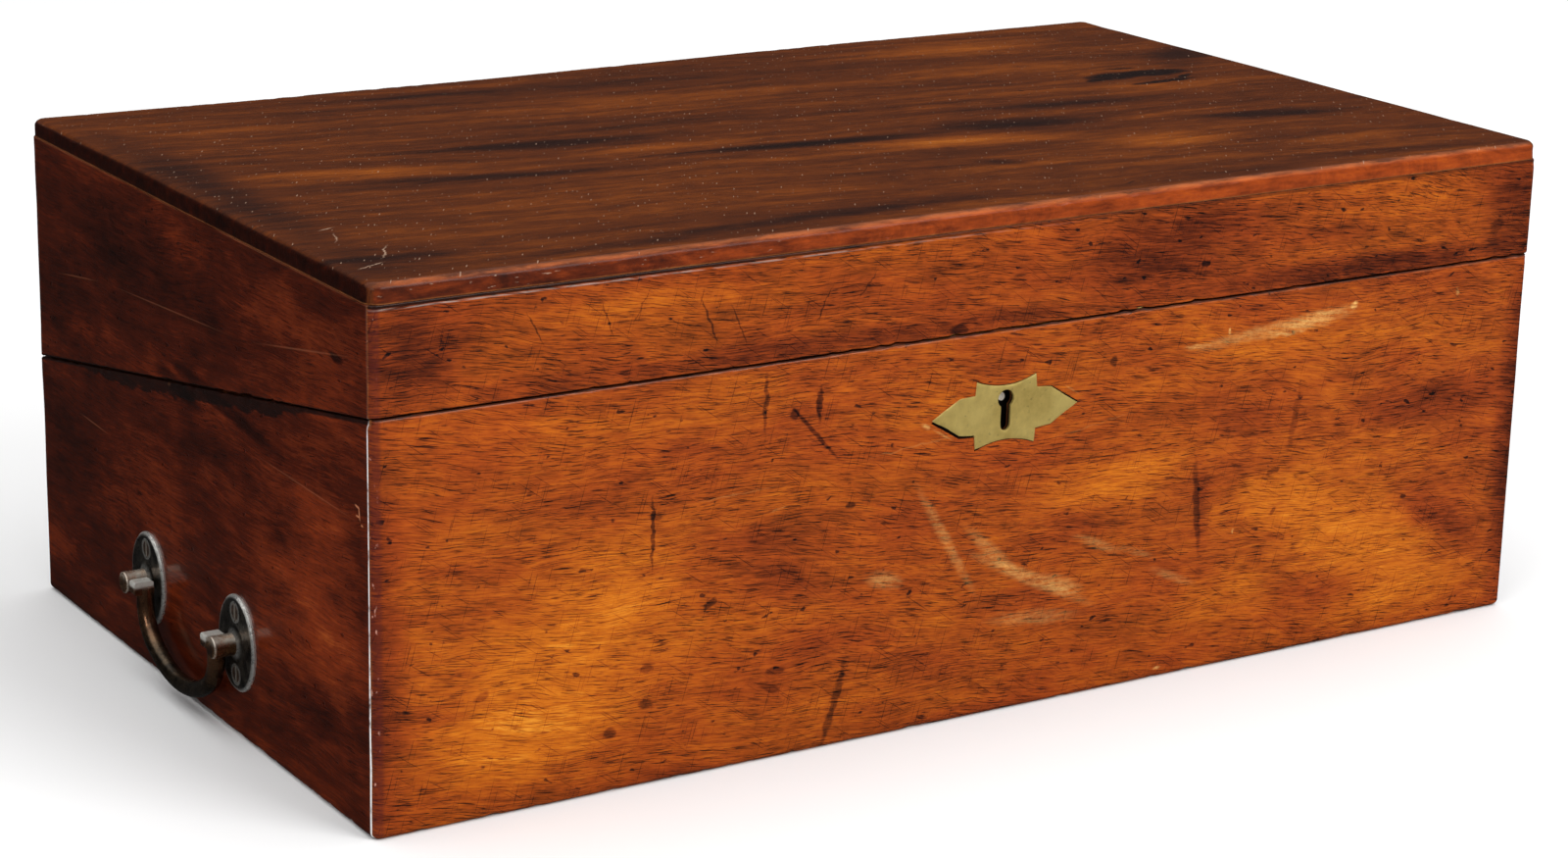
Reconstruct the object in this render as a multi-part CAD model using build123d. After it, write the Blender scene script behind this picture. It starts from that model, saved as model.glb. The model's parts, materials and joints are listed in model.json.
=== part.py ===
"""Mahogany writing slope: a box sawn on a slant into a base and a lid, hinged at the low edge.

Row frame: origin at the centre of the underside, +X to the right along the lock face,
+Y from the lock face towards the hinge face, +Z up. Millimetres throughout.

Pieces that lie along the slanted saw cut are placed in the slope frame: u along +X,
v down the slope and out of the hinge face, w square to the cut and up. Its origin is
on the hinge axis, so the base lies at w < 0 and the closed lid at w > 0.
"""

from build123d import *
import math
import os

os.makedirs("parts", exist_ok=True)

# ------------------------------------------------------------------ driving dimensions
# Case
WIDTH = 500.0
DEPTH = 295.0
HEIGHT = 190.0
SPLIT_FRONT = 145.0  # height of the saw cut at the lock face
SAW_GAP = 0.5  # seam between the closed lid and the base
WALL = 10.0
TOP_BOARD = 7.5
BOTTOM_BOARD = 6.0
CORNER_LAP = 2.0  # what is left of the front and back boards over the side boards
CORNER_RADIUS = 3.0
BOTTOM_RADIUS = 2.5
TOP_CORNER_RADIUS = 5.0
TOP_EDGE_RADIUS = 2.6
SEAM_ARRIS = 0.7
BOARD_ARRIS = 0.4

# Writing boards and what carries them
FLAP = 7.0
LEATHER = 0.8
LEATHER_INSET = 0.1  # leather below the rim
LEDGER = 8.0
FLAP_CLEARANCE = 0.5
FLAP_JOINT = 0.3  # between a flap and the fixed piece that it hinges on
LID_RAIL = 14.0

# Pen and ink compartment
PEN_COMPARTMENT = 47.5  # clear width behind the lock face
PARTITION = 5.0
DIVIDER = 5.0
INK_WELL = 50.0
INK_WELL_DEPTH = 58.0
DIVIDER_DROP = 8.0  # tops of the dividers below the saw cut
TRAY_HEIGHT = 24.0
TRAY_DROP = 7.0  # top of the pen tray below the saw cut at the partition
TRAY_COVE_WIDTH = 40.0
TRAY_COVE_DEPTH = 12.0

# Butt hinges
HINGE_AXIS_OUT = 0.3  # hinge axis behind the hinge face
HINGE_LENGTH = 40.0
HINGE_FROM_END = 95.0
KNUCKLE_COUNT = 5
KNUCKLE_RADIUS = 2.6
KNUCKLE_GAP = 0.2
KNUCKLE_RECESS_CLEARANCE = 0.3
HINGE_LEAF = 1.2
HINGE_LEAF_WIDTH = 8.6
HINGE_PIN_RADIUS = 1.1
HINGE_SCREW_PITCH = 14.0
HINGE_SCREW_INSET = 2.9  # screw centre from the leaf's inner edge

# Lock, its link plate and the escutcheon
LOCK_WIDTH = 60.0
LOCK_REACH = 45.0  # foot of the lock below the rim at the lock face
LOCK_THICKNESS = 7.7
LOCK_SHEET = 1.2
LOCK_FLANGE = 6.0
SELVEDGE = 1.5
SELVEDGE_FRONT_WOOD = 1.6
LINK_LINE_FROM_INSIDE = 3.6  # centre of the links before the board's inner face, at the saw cut
LINK_OFFSET = 10.0
LINK_THICKNESS = 2.0
LINK_WIDTH = 4.0
LINK_REACH = 9.5
LINK_EYE_WIDTH = 2.2
LINK_EYE_HEIGHT = 3.2
LINK_EYE_DROP = 5.6
LINK_SLOT_CLEARANCE = 0.5
LINK_PLATE_HALF_LENGTH = 24.0
LINK_PLATE_SCREW = 18.5
BOLT_THICKNESS = 1.6
BOLT_FINGER = 2.2
BOLT_BAR_HEIGHT = 4.3
BOLT_BAR_CLEARANCE = 0.7  # bar below the links
BOLT_TRAVEL = 4.0
BOLT_TIP_GAP = 0.4
BOLT_NECK = 3.0
BOLT_GUIDE_X = 18.0
BOLT_GUIDE_LENGTH = 3.0
BOLT_GUIDE_HEIGHT = 1.4
BOLT_GUIDE_GAP = 0.05
LOCK_PIN_RADIUS = 1.5
LOCK_PIN_FROM_FACE = 2.8
LOCK_SPRING = 0.6
LOCK_SPRING_LENGTH = 22.8
LOCK_SPRING_DROP = 4.0
KEYHOLE_RADIUS = 3.5
KEYHOLE_DROP = 25.6  # middle of the keyhole's round head below the rim
KEYHOLE_SLOT = 4.4
KEYHOLE_LENGTH = 15.6
ESCUTCHEON = 1.0
ESCUTCHEON_DROP = 30.7
ESCUTCHEON_TIP = 32.1
ESCUTCHEON_KNEE = (20.0, 7.3)
ESCUTCHEON_NOTCH = (13.4, 7.8)
ESCUTCHEON_HORN = (12.9, 13.0)
ESCUTCHEON_WAIST = 10.3

# Drop handles on both sides
HANDLE_HEIGHT = 36.0
POST_SPACING = 80.0
BACKPLATE_WIDTH = 29.4
BACKPLATE_HEIGHT = 35.5
BACKPLATE = 1.5
BACKPLATE_BEVEL = 0.8
COLLAR_RADIUS = 6.75
COLLAR_HEIGHT = 1.2
POST_RADIUS = 4.0
POST_LENGTH = 11.0
POST_EDGE = 0.6
SPIGOT_RADIUS = 2.5
SPIGOT_LENGTH = 6.0
BAIL_PIVOT_OUT = 5.4
BAIL_RADIUS = 3.2
BAIL_ARM_GAP = 0.4  # between a raised arm and its post
BAIL_DROP = 27.0
BAIL_STRAIGHT = 6.0
BAIL_SHOULDER_RADIUS = 16.0
BAIL_KNUCKLE_WIDTH = 4.9
BAIL_KNUCKLE_GAP = 1.1
BAIL_KNUCKLE_INWARD = 2.5
BAIL_KNUCKLE_OUTWARD = 5.0
BAIL_KNUCKLE_HALF_HEIGHT = 2.5
BAIL_KNUCKLE_EDGE = 0.9
PINTLE_RADIUS = 1.6
PINTLE_BEARING = 2.5  # how far the pintle enters the post
PINTLE_END_GAP = 0.3
HANDLE_SCREW_OFFSET = 11.6

# Turn button that holds the lid's writing board
BUTTON_X = 60.0
BUTTON_THICKNESS = 1.2
BUTTON_RADIUS = 3.5
BUTTON_REACH = 10.4
BUTTON_INSET = 0.2
BUTTON_SWEEP_CLEARANCE = 0.4
BUTTON_FLOOR_GAP = 0.05

RUNNING_FIT = 0.05  # radial clearance of a pin that turns in its hole
PINNED_FIT = 0.02  # radial clearance of a pin in the knuckles that hold it

# Screws: head radius, shank radius, length
HINGE_SCREW = (2.0, 1.1, 9.0)
HANDLE_SCREW = (3.3, 1.7, 9.0)
SELVEDGE_SCREW = (2.0, 1.1, 9.0)
FLANGE_SCREW = (1.9, 1.0, 6.0)
LINK_SCREW = (2.0, 1.1, 8.0)
BUTTON_SCREW = (2.2, 1.2, 8.0)
SLOT_WIDTH = 0.8
SLOT_DEPTH = 0.6

# ------------------------------------------------------------------ derived places
HALF_W = WIDTH / 2
HALF_D = DEPTH / 2
INNER_X = HALF_W - WALL
INNER_Y = HALF_D - WALL
WALL_TOP = HEIGHT - TOP_BOARD
FAR = 2 * (WIDTH + DEPTH + HEIGHT)

# The hinge axis is at half height, so the opened lid lies on the table beside the base
HINGE_Y = HALF_D + HINGE_AXIS_OUT
HINGE_Z = HEIGHT / 2
SLOPE = math.atan2(SPLIT_FRONT - HINGE_Z, HALF_D + HINGE_Y)
SLOPE_SIN = math.sin(SLOPE)
SLOPE_COS = math.cos(SLOPE)
slope_frame = Plane((0, HINGE_Y, HINGE_Z), x_dir=(1, 0, 0), z_dir=(0, SLOPE_SIN, SLOPE_COS))

RIM = SAW_GAP / 2  # w of the lid's rim, and minus w of the base's
LEATHER_FACE = RIM + LEATHER_INSET
FLAP_FACE = LEATHER_FACE + LEATHER
FLAP_BACK = FLAP_FACE + FLAP
LEDGER_BACK = FLAP_BACK + LEDGER

PARTITION_FRONT = -INNER_Y + PEN_COMPARTMENT
PARTITION_REAR = PARTITION_FRONT + PARTITION
DIVIDER_X = INNER_X - INK_WELL

LOCK_BOTTOM = SPLIT_FRONT - LOCK_REACH
KEYHOLE_HEIGHT = SPLIT_FRONT - KEYHOLE_DROP
ESCUTCHEON_HEIGHT = SPLIT_FRONT - ESCUTCHEON_DROP

nodes = {}


def slope_v(y, w):
    """v of the point that lies at row y and at w off the saw cut."""
    return (y - HINGE_Y - w * SLOPE_SIN) / SLOPE_COS


def span_box(x, y, z):
    """Box between the row coordinates in each pair."""
    size = [pair[1] - pair[0] for pair in (x, y, z)]
    return Pos(x[0], y[0], z[0]) * Box(*size, align=(Align.MIN,) * 3)


def slope_box(u, v, w):
    """Box between the slope-frame coordinates in each pair."""
    return slope_frame * span_box(u, v, w)


def below_cut(shape, w):
    """The part of a shape under the plane at w off the saw cut."""
    return shape - slope_box((-FAR, FAR), (-FAR, FAR), (w, FAR))


def countersunk(size, slotted=True):
    """Wood screw with its flat head at the local origin and its shank down -Z."""
    head_radius, shank_radius, length = size
    head_height = head_radius - shank_radius
    top = (Align.CENTER, Align.CENTER, Align.MAX)
    screw = Cylinder(shank_radius, length, align=top)
    screw += Cone(shank_radius, head_radius, head_height, align=top)
    if slotted:
        screw -= Box(3 * head_radius, SLOT_WIDTH, 2 * SLOT_DEPTH)
    return screw


def screws(node, size, places):
    """Stores a group of slotted screws and returns the holes that they fill."""
    nodes[node] = Compound(children=[place * countersunk(size) for place in places])
    return [place * countersunk(size, slotted=False) for place in places]


# ------------------------------------------------------------------ case
def rounded_case():
    """The closed box under the top board, as glued up before the saw cut."""
    case = span_box((-HALF_W, HALF_W), (-HALF_D, HALF_D), (0, WALL_TOP))
    case = fillet(case.edges().filter_by(Axis.Z), CORNER_RADIUS)
    case = fillet(case.faces().sort_by(Axis.Z)[0].edges(), BOTTOM_RADIUS)
    return fillet(case.faces().sort_by(Axis.Z)[-1].edges(), BOARD_ARRIS)


def eased_rim(half, sign):
    """Rounds the outer edge of the sawn face, which looks along sign * w."""
    outward = slope_frame.z_dir * sign
    sawn = [face for face in half.faces() if (face.normal_at() - outward).length < 1e-6]
    return fillet(sawn[0].edges(), SEAM_ARRIS)


def wall_boards():
    """Full-height boards: the front and back lap the ends of the two sides."""
    height = (0, WALL_TOP)
    front = span_box((-HALF_W, HALF_W), (-HALF_D, -INNER_Y), height)
    for side in (-1, 1):
        rebate = sorted((side * INNER_X, side * FAR))
        front -= span_box(rebate, (-HALF_D + CORNER_LAP, 0), height)
    right = span_box((INNER_X, HALF_W), (-HALF_D + CORNER_LAP, HALF_D - CORNER_LAP), height)
    return {
        "front": front,
        "back": mirror(front, Plane.XZ),
        "left_side": mirror(right, Plane.YZ),
        "right_side": right,
    }


def sawn_case():
    """Adds the four walls of the base and of the lid, and the bottom and top boards."""
    case = rounded_case()
    base_half = eased_rim(below_cut(case, -RIM), 1)
    lid_half = eased_rim(case - below_cut(case, RIM), -1)
    groove = WALL / 2
    nodes["base_bottom"] = span_box(
        (-HALF_W + groove, HALF_W - groove),
        (-HALF_D + groove, HALF_D - groove),
        (0, BOTTOM_BOARD),
    )
    for name, board in wall_boards().items():
        nodes[f"base_{name}"] = (board & base_half) - nodes["base_bottom"]
        nodes[f"lid_{name}"] = board & lid_half
    top = span_box((-HALF_W, HALF_W), (-HALF_D, HALF_D), (WALL_TOP, HEIGHT))
    top = fillet(top.edges().filter_by(Axis.Z), TOP_CORNER_RADIUS)
    top = fillet(top.faces().sort_by(Axis.Z)[0].edges(), BOARD_ARRIS)
    nodes["lid_top"] = fillet(top.faces().sort_by(Axis.Z)[-1].edges(), TOP_EDGE_RADIUS)


# ------------------------------------------------------------------ compartments
def pen_compartment():
    """Partition, ink wells and coved pen tray behind the lock face."""
    wall_to_partition = (-INNER_Y, PARTITION_FRONT)
    partition = span_box((-INNER_X, INNER_X), (PARTITION_FRONT, PARTITION_REAR), (BOTTOM_BOARD, HEIGHT))
    nodes["pen_partition"] = below_cut(partition, -FLAP_FACE)

    cut_at_partition = HINGE_Z + (HINGE_Y - PARTITION_FRONT) * math.tan(SLOPE)
    well_floor = cut_at_partition - DIVIDER_DROP - INK_WELL_DEPTH
    for name, side in (("left", -1), ("right", 1)):
        divider_x = sorted((side * DIVIDER_X, side * (DIVIDER_X - DIVIDER)))
        divider = span_box(divider_x, wall_to_partition, (BOTTOM_BOARD, HEIGHT))
        nodes[f"{name}_ink_well_divider"] = below_cut(divider, -DIVIDER_DROP)
        nodes[f"{name}_ink_well_floor"] = span_box(
            sorted((side * DIVIDER_X, side * INNER_X)),
            wall_to_partition,
            (well_floor - DIVIDER, well_floor),
        )

    tray_end = DIVIDER_X - DIVIDER
    tray_top = cut_at_partition - TRAY_DROP
    tray = span_box((-tray_end, tray_end), wall_to_partition, (tray_top - TRAY_HEIGHT, tray_top))
    cove_radius = ((TRAY_COVE_WIDTH / 2) ** 2 + TRAY_COVE_DEPTH**2) / (2 * TRAY_COVE_DEPTH)
    cove_length = 2 * (tray_end - (PEN_COMPARTMENT - TRAY_COVE_WIDTH) / 2)
    middle_y = (-INNER_Y + PARTITION_FRONT) / 2
    cove = Pos(0, middle_y, tray_top + cove_radius - TRAY_COVE_DEPTH) * Rot(0, 90, 0)
    nodes["pen_tray"] = tray - cove * Cylinder(cove_radius, cove_length)


def base_writing_board():
    """Flap over the base, its leather hinge over the partition, and its ledgers."""
    flap_u = (-INNER_X + FLAP_CLEARANCE, INNER_X - FLAP_CLEARANCE)
    free_v = slope_v(INNER_Y - FLAP_CLEARANCE, -LEATHER_FACE)
    hinge_v = slope_v(PARTITION_REAR + FLAP_JOINT, -FLAP_BACK)
    nodes["base_flap"] = slope_box(flap_u, (hinge_v, free_v), (-FLAP_BACK, -FLAP_FACE))
    leather_v = slope_v(PARTITION_FRONT, -FLAP_FACE)
    leather_w = (-FLAP_FACE, -LEATHER_FACE)
    nodes["base_flap_leather"] = slope_box(flap_u, (leather_v, free_v), leather_w)
    for name, side in (("left", -1), ("right", 1)):
        nodes[f"base_{name}_ledger"] = slope_box(
            sorted((side * INNER_X, side * (INNER_X - LEDGER))),
            (slope_v(PARTITION_REAR, -LEDGER_BACK), slope_v(INNER_Y, -FLAP_BACK)),
            (-LEDGER_BACK, -FLAP_BACK),
        )


def lid_writing_board():
    """Flap inside the lid, the rail and leather that it hinges on, and its ledgers."""
    flap_u = (-INNER_X + FLAP_CLEARANCE, INNER_X - FLAP_CLEARANCE)
    free_v = slope_v(-INNER_Y + FLAP_CLEARANCE, LEATHER_FACE)
    rail_end = slope_v(INNER_Y, FLAP_BACK)
    rail_start = rail_end - LID_RAIL
    flap_w = (FLAP_FACE, FLAP_BACK)
    nodes["lid_flap_rail"] = slope_box((-INNER_X, INNER_X), (rail_start, rail_end), flap_w)
    nodes["lid_flap"] = slope_box(flap_u, (free_v, rail_start - FLAP_JOINT), flap_w)
    leather_w = (LEATHER_FACE, FLAP_FACE)
    nodes["lid_flap_leather"] = slope_box(flap_u, (free_v, rail_end), leather_w)
    for name, side in (("left", -1), ("right", 1)):
        nodes[f"lid_{name}_ledger"] = slope_box(
            sorted((side * INNER_X, side * (INNER_X - LEDGER))),
            (slope_v(-INNER_Y, FLAP_BACK), slope_v(INNER_Y, LEDGER_BACK)),
            (FLAP_BACK, LEDGER_BACK),
        )


def turn_button():
    """Brass button, let into the rim of the lid, that laps the lid's flap."""
    pivot_v = slope_v(-HALF_D + WALL / 2, RIM)
    face_w = RIM + BUTTON_INSET
    floor_w = face_w + BUTTON_THICKNESS + BUTTON_FLOOR_GAP
    pivot = slope_frame * Location((BUTTON_X, pivot_v, 0))

    swept = BUTTON_REACH + BUTTON_RADIUS + BUTTON_SWEEP_CLEARANCE
    margin = BUTTON_RADIUS + BUTTON_SWEEP_CLEARANCE
    sweep = Cylinder(swept, floor_w, align=(Align.CENTER, Align.CENTER, Align.MIN))
    sweep &= span_box((-margin, FAR), (-margin, FAR), (0, floor_w))
    for node in ("lid_front", "lid_flap", "lid_flap_leather"):
        nodes[node] -= pivot * sweep

    outline = Pos(0, BUTTON_REACH / 2) * Rot(0, 0, 90)
    outline *= SlotCenterToCenter(BUTTON_REACH, 2 * BUTTON_RADIUS)
    button = Pos(0, 0, face_w) * extrude(outline, BUTTON_THICKNESS)
    head, shank, length = BUTTON_SCREW
    screw_place = pivot * Pos(0, 0, face_w) * Rot(180, 0, 0)
    eye = countersunk((head + RUNNING_FIT, shank + RUNNING_FIT, length), slotted=False)
    nodes["flap_turn_button"] = pivot * button - screw_place * eye
    nodes["lid_front"] -= screws("turn_button_screw", BUTTON_SCREW, [screw_place])


# ------------------------------------------------------------------ hinges
def butt_hinge(name, centre_x):
    """One butt hinge: a leaf in each rim, knuckles behind the hinge face, and the pin."""
    ends = (centre_x - HINGE_LENGTH / 2, centre_x + HINGE_LENGTH / 2)
    along = slope_frame * Location((centre_x, 0, 0), (0, 90, 0))
    recess_radius = KNUCKLE_RADIUS + KNUCKLE_RECESS_CLEARANCE
    barrel_recess = along * Cylinder(recess_radius, HINGE_LENGTH)
    pitch = HINGE_LENGTH / KNUCKLE_COUNT
    # The screws' line, measured from the hinge axis
    screw_v = -HINGE_LEAF_WIDTH + HINGE_SCREW_INSET

    for half, sign, first, fit in (("base", -1, 0, PINNED_FIT), ("lid", 1, 1, RUNNING_FIT)):
        leaf_w = sorted((sign * RIM, sign * (RIM + HINGE_LEAF)))
        leaf = slope_box(ends, (-HINGE_LEAF_WIDTH, -recess_radius), leaf_w)
        for index in range(first, KNUCKLE_COUNT, 2):
            start = ends[0] + index * pitch + KNUCKLE_GAP / 2
            length = pitch - KNUCKLE_GAP
            middle = slope_frame * Location((start + length / 2, 0, 0), (0, 90, 0))
            leaf += slope_box((start, start + length), (-recess_radius, 0), leaf_w)
            leaf += middle * Cylinder(KNUCKLE_RADIUS, length)
        leaf -= along * Cylinder(HINGE_PIN_RADIUS + fit, HINGE_LENGTH)
        turn = Rot(0, 0, 0) if sign < 0 else Rot(180, 0, 0)
        places = [
            slope_frame * Pos(centre_x + step * HINGE_SCREW_PITCH, screw_v, sign * RIM) * turn
            for step in (-1, 0, 1)
        ]
        holes = screws(f"{name}_{half}_hinge_screws", HINGE_SCREW, places)
        let_in = slope_box(ends, (-HINGE_LEAF_WIDTH, FAR), sorted((0, sign * (RIM + HINGE_LEAF))))
        nodes[f"{half}_back"] -= [barrel_recess, let_in, *holes]
        nodes[f"{name}_{half}_hinge_leaf"] = leaf - holes
    nodes[f"{name}_hinge_pin"] = along * Cylinder(HINGE_PIN_RADIUS, HINGE_LENGTH)


# ------------------------------------------------------------------ lock
def keyhole(start_y, end_y):
    """Round-headed keyhole through everything between two row y values."""
    slot_end = KEYHOLE_HEIGHT + KEYHOLE_RADIUS - KEYHOLE_LENGTH + KEYHOLE_SLOT / 2
    profile = Pos(0, KEYHOLE_HEIGHT) * Circle(KEYHOLE_RADIUS)
    profile += Pos(0, slot_end) * Circle(KEYHOLE_SLOT / 2)
    profile += Pos(0, slot_end) * Rectangle(
        KEYHOLE_SLOT, KEYHOLE_HEIGHT - slot_end, align=(Align.CENTER, Align.MIN)
    )
    return extrude(Plane.XZ.offset(-end_y) * profile, end_y - start_y)


def escutcheon():
    """Pointed, horned plate let in flush with the lock face."""
    knee_x, knee_z = ESCUTCHEON_KNEE
    notch_x, notch_z = ESCUTCHEON_NOTCH
    horn_x, horn_z = ESCUTCHEON_HORN
    edges = []
    for x_sign in (-1, 1):
        for z_sign in (-1, 1):
            corners = [
                (x_sign * ESCUTCHEON_TIP, 0),
                (x_sign * knee_x, z_sign * knee_z),
                (x_sign * notch_x, z_sign * notch_z),
                (x_sign * horn_x, z_sign * horn_z),
            ]
            edges += Polyline(*corners).edges()
    for z_sign in (-1, 1):
        waist = (0, z_sign * ESCUTCHEON_WAIST)
        edges.append(ThreePointArc((-horn_x, z_sign * horn_z), waist, (horn_x, z_sign * horn_z)))
    face = make_face(Curve(edges))
    front = Plane((0, -HALF_D, ESCUTCHEON_HEIGHT), x_dir=(1, 0, 0), z_dir=(0, -1, 0))
    plate = extrude(front * face, -ESCUTCHEON)
    nodes["base_front"] -= plate
    nodes["escutcheon"] = plate - keyhole(-HALF_D - ESCUTCHEON, -INNER_Y)


def box_lock():
    """Lock let into the base, its sliding bolt, and the link plate in the lid's rim."""
    link_v = slope_v(-INNER_Y - LINK_LINE_FROM_INSIDE, 0)
    bar_top = -LINK_REACH - BOLT_BAR_CLEARANCE
    bar_bottom = bar_top - BOLT_BAR_HEIGHT
    half_lock = LOCK_WIDTH / 2
    cavity_y = -INNER_Y - LOCK_THICKNESS
    plate_y = -INNER_Y - LOCK_SHEET

    # Case: an open tray that faces the wood, with a flanged back plate
    outer = span_box((-half_lock, half_lock), (cavity_y, -INNER_Y), (LOCK_BOTTOM, HEIGHT))
    flange = half_lock + LOCK_FLANGE
    outer += span_box((-flange, flange), (plate_y, -INNER_Y), (LOCK_BOTTOM, HEIGHT))
    outer = below_cut(outer, -RIM - SELVEDGE)
    inside = half_lock - LOCK_SHEET
    hollow = span_box((-inside, inside), (cavity_y, plate_y), (LOCK_BOTTOM + LOCK_SHEET, HEIGHT))
    case = outer - hollow
    guide_top = bar_bottom - BOLT_GUIDE_GAP
    for side in (-1, 1):
        guide = slope_box(
            (side * BOLT_GUIDE_X - BOLT_GUIDE_LENGTH / 2, side * BOLT_GUIDE_X + BOLT_GUIDE_LENGTH / 2),
            (link_v - BOLT_THICKNESS / 2, link_v + LOCK_THICKNESS),
            (guide_top - BOLT_GUIDE_HEIGHT, guide_top),
        )
        case += guide & hollow

    # Selvedge, let into the rim over the case, slotted for the two links
    selvedge_v = (slope_v(-HALF_D + SELVEDGE_FRONT_WOOD, -RIM), slope_v(-INNER_Y, -RIM - SELVEDGE))
    selvedge = slope_box((-flange, flange), selvedge_v, (-RIM - SELVEDGE, -RIM))
    selvedge_hole = selvedge
    for side in (-1, 1):
        half_slot = LINK_THICKNESS / 2 + LINK_SLOT_CLEARANCE
        half_width = LINK_WIDTH / 2 + LINK_SLOT_CLEARANCE
        middle = side * LINK_OFFSET
        selvedge -= slope_box(
            (middle - half_slot, middle + half_slot),
            (link_v - half_width, link_v + half_width),
            (-RIM - SELVEDGE, -RIM),
        )

    # Screws: one down through each end of the selvedge, one through each flange
    screw_u = half_lock + LOCK_FLANGE / 2
    selvedge_middle = sum(selvedge_v) / 2
    flange_height = (LOCK_BOTTOM + SPLIT_FRONT) / 2
    places = [slope_frame * Pos(side * screw_u, selvedge_middle, -RIM) for side in (-1, 1)]
    rim_holes = [place * countersunk(SELVEDGE_SCREW, slotted=False) for place in places]
    flange_places = [Pos(side * screw_u, -INNER_Y, flange_height) * Rot(-90, 0, 0) for side in (-1, 1)]
    flange_holes = [place * countersunk(FLANGE_SCREW, slotted=False) for place in flange_places]
    nodes["lock_screws"] = Compound(
        children=[place * countersunk(SELVEDGE_SCREW) for place in places]
        + [place * countersunk(FLANGE_SCREW) for place in flange_places]
    )
    nodes["lock_case"] = case - rim_holes - flange_holes
    nodes["lock_selvedge"] = selvedge - rim_holes
    nodes["base_front"] -= [outer, selvedge_hole, keyhole(-HALF_D, -INNER_Y), *rim_holes, *flange_holes]

    # Drill pin on which the key turns
    pin_start = -HALF_D + LOCK_PIN_FROM_FACE
    pin = Pos(0, plate_y, KEYHOLE_HEIGHT) * Rot(90, 0, 0)
    upright = (Align.CENTER, Align.CENTER, Align.MIN)
    nodes["lock_pin"] = pin * Cylinder(LOCK_PIN_RADIUS, plate_y - pin_start, align=upright)

    # Bolt: a bar below the links with two fingers that slide into their eyes
    half_bolt = BOLT_THICKNESS / 2
    bolt_v = (link_v - half_bolt, link_v + half_bolt)
    bar_u = (-BOLT_GUIDE_X - BOLT_GUIDE_LENGTH, BOLT_GUIDE_X)
    bolt = slope_box(bar_u, bolt_v, (bar_bottom, bar_top))
    finger_w = (-LINK_EYE_DROP - BOLT_FINGER / 2, -LINK_EYE_DROP + BOLT_FINGER / 2)
    for side in (-1, 1):
        tip = side * LINK_OFFSET - LINK_THICKNESS / 2 - BOLT_TIP_GAP
        neck = tip - BOLT_TRAVEL - BOLT_NECK
        bolt += slope_box((neck, tip), bolt_v, finger_w)
        bolt += slope_box((neck, neck + BOLT_NECK), bolt_v, (bar_top, finger_w[1]))
    nodes["lock_bolt"] = bolt

    # Leaf spring from the case's left wall up to the underside of the bar
    spring_foot = guide_top - LOCK_SPRING_DROP
    spring_tip_u = LOCK_SPRING_LENGTH - inside
    profile = Polyline(
        (-inside, spring_foot),
        (spring_tip_u, guide_top),
        (spring_tip_u, guide_top - LOCK_SPRING),
        (-inside, spring_foot - LOCK_SPRING),
        close=True,
    )
    spring_plane = Plane(
        slope_frame.from_local_coords(Vector(0, link_v - half_bolt, 0)),
        x_dir=(1, 0, 0),
        z_dir=-slope_frame.y_dir,
    )
    nodes["lock_spring"] = extrude(spring_plane * make_face(profile), -BOLT_THICKNESS) & hollow

    # Link plate and its two eyes
    plate_w = (RIM, RIM + SELVEDGE)
    plate_v = (slope_v(-HALF_D + SELVEDGE_FRONT_WOOD + 0.8, RIM), slope_v(-INNER_Y, RIM))
    plate_u = (-LINK_PLATE_HALF_LENGTH, LINK_PLATE_HALF_LENGTH)
    link_plate = slope_box(plate_u, plate_v, plate_w)
    nodes["lid_front"] -= link_plate
    eye_v = (link_v - LINK_EYE_WIDTH / 2, link_v + LINK_EYE_WIDTH / 2)
    eye_w = (-LINK_EYE_DROP - LINK_EYE_HEIGHT / 2, -LINK_EYE_DROP + LINK_EYE_HEIGHT / 2)
    for side in (-1, 1):
        u = (side * LINK_OFFSET - LINK_THICKNESS / 2, side * LINK_OFFSET + LINK_THICKNESS / 2)
        link = slope_box(u, (link_v - LINK_WIDTH / 2, link_v + LINK_WIDTH / 2), (-LINK_REACH, RIM))
        link_plate += link - slope_box(u, eye_v, eye_w)
    link_middle = sum(plate_v) / 2
    places = [
        slope_frame * Pos(side * LINK_PLATE_SCREW, link_middle, RIM) * Rot(180, 0, 0) for side in (-1, 1)
    ]
    holes = screws("link_plate_screws", LINK_SCREW, places)
    nodes["lid_front"] -= holes
    nodes["link_plate"] = link_plate - holes


# ------------------------------------------------------------------ drop handles
def bail_path(half_width):
    """Centre line of a bail in its own plane: straight arms, shoulders and a flat bow."""
    shoulder = BAIL_SHOULDER_RADIUS
    span = half_width - shoulder
    drop = BAIL_DROP - BAIL_STRAIGHT
    rise = (span**2 - (drop - shoulder) ** 2) / (2 * (drop - shoulder))
    bow_radius = drop + rise
    shoulder_turn = math.degrees(math.atan2(rise, span))
    arm = Line((-half_width, 0), (-half_width, -BAIL_STRAIGHT))
    first = JernArc(arm @ 1, arm % 1, shoulder, shoulder_turn)
    bow = JernArc(first @ 1, first % 1, bow_radius, 180 - 2 * shoulder_turn)
    second = JernArc(bow @ 1, bow % 1, shoulder, shoulder_turn)
    return Wire([arm, first, bow, second, Line(second @ 1, (half_width, 0))])


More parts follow.
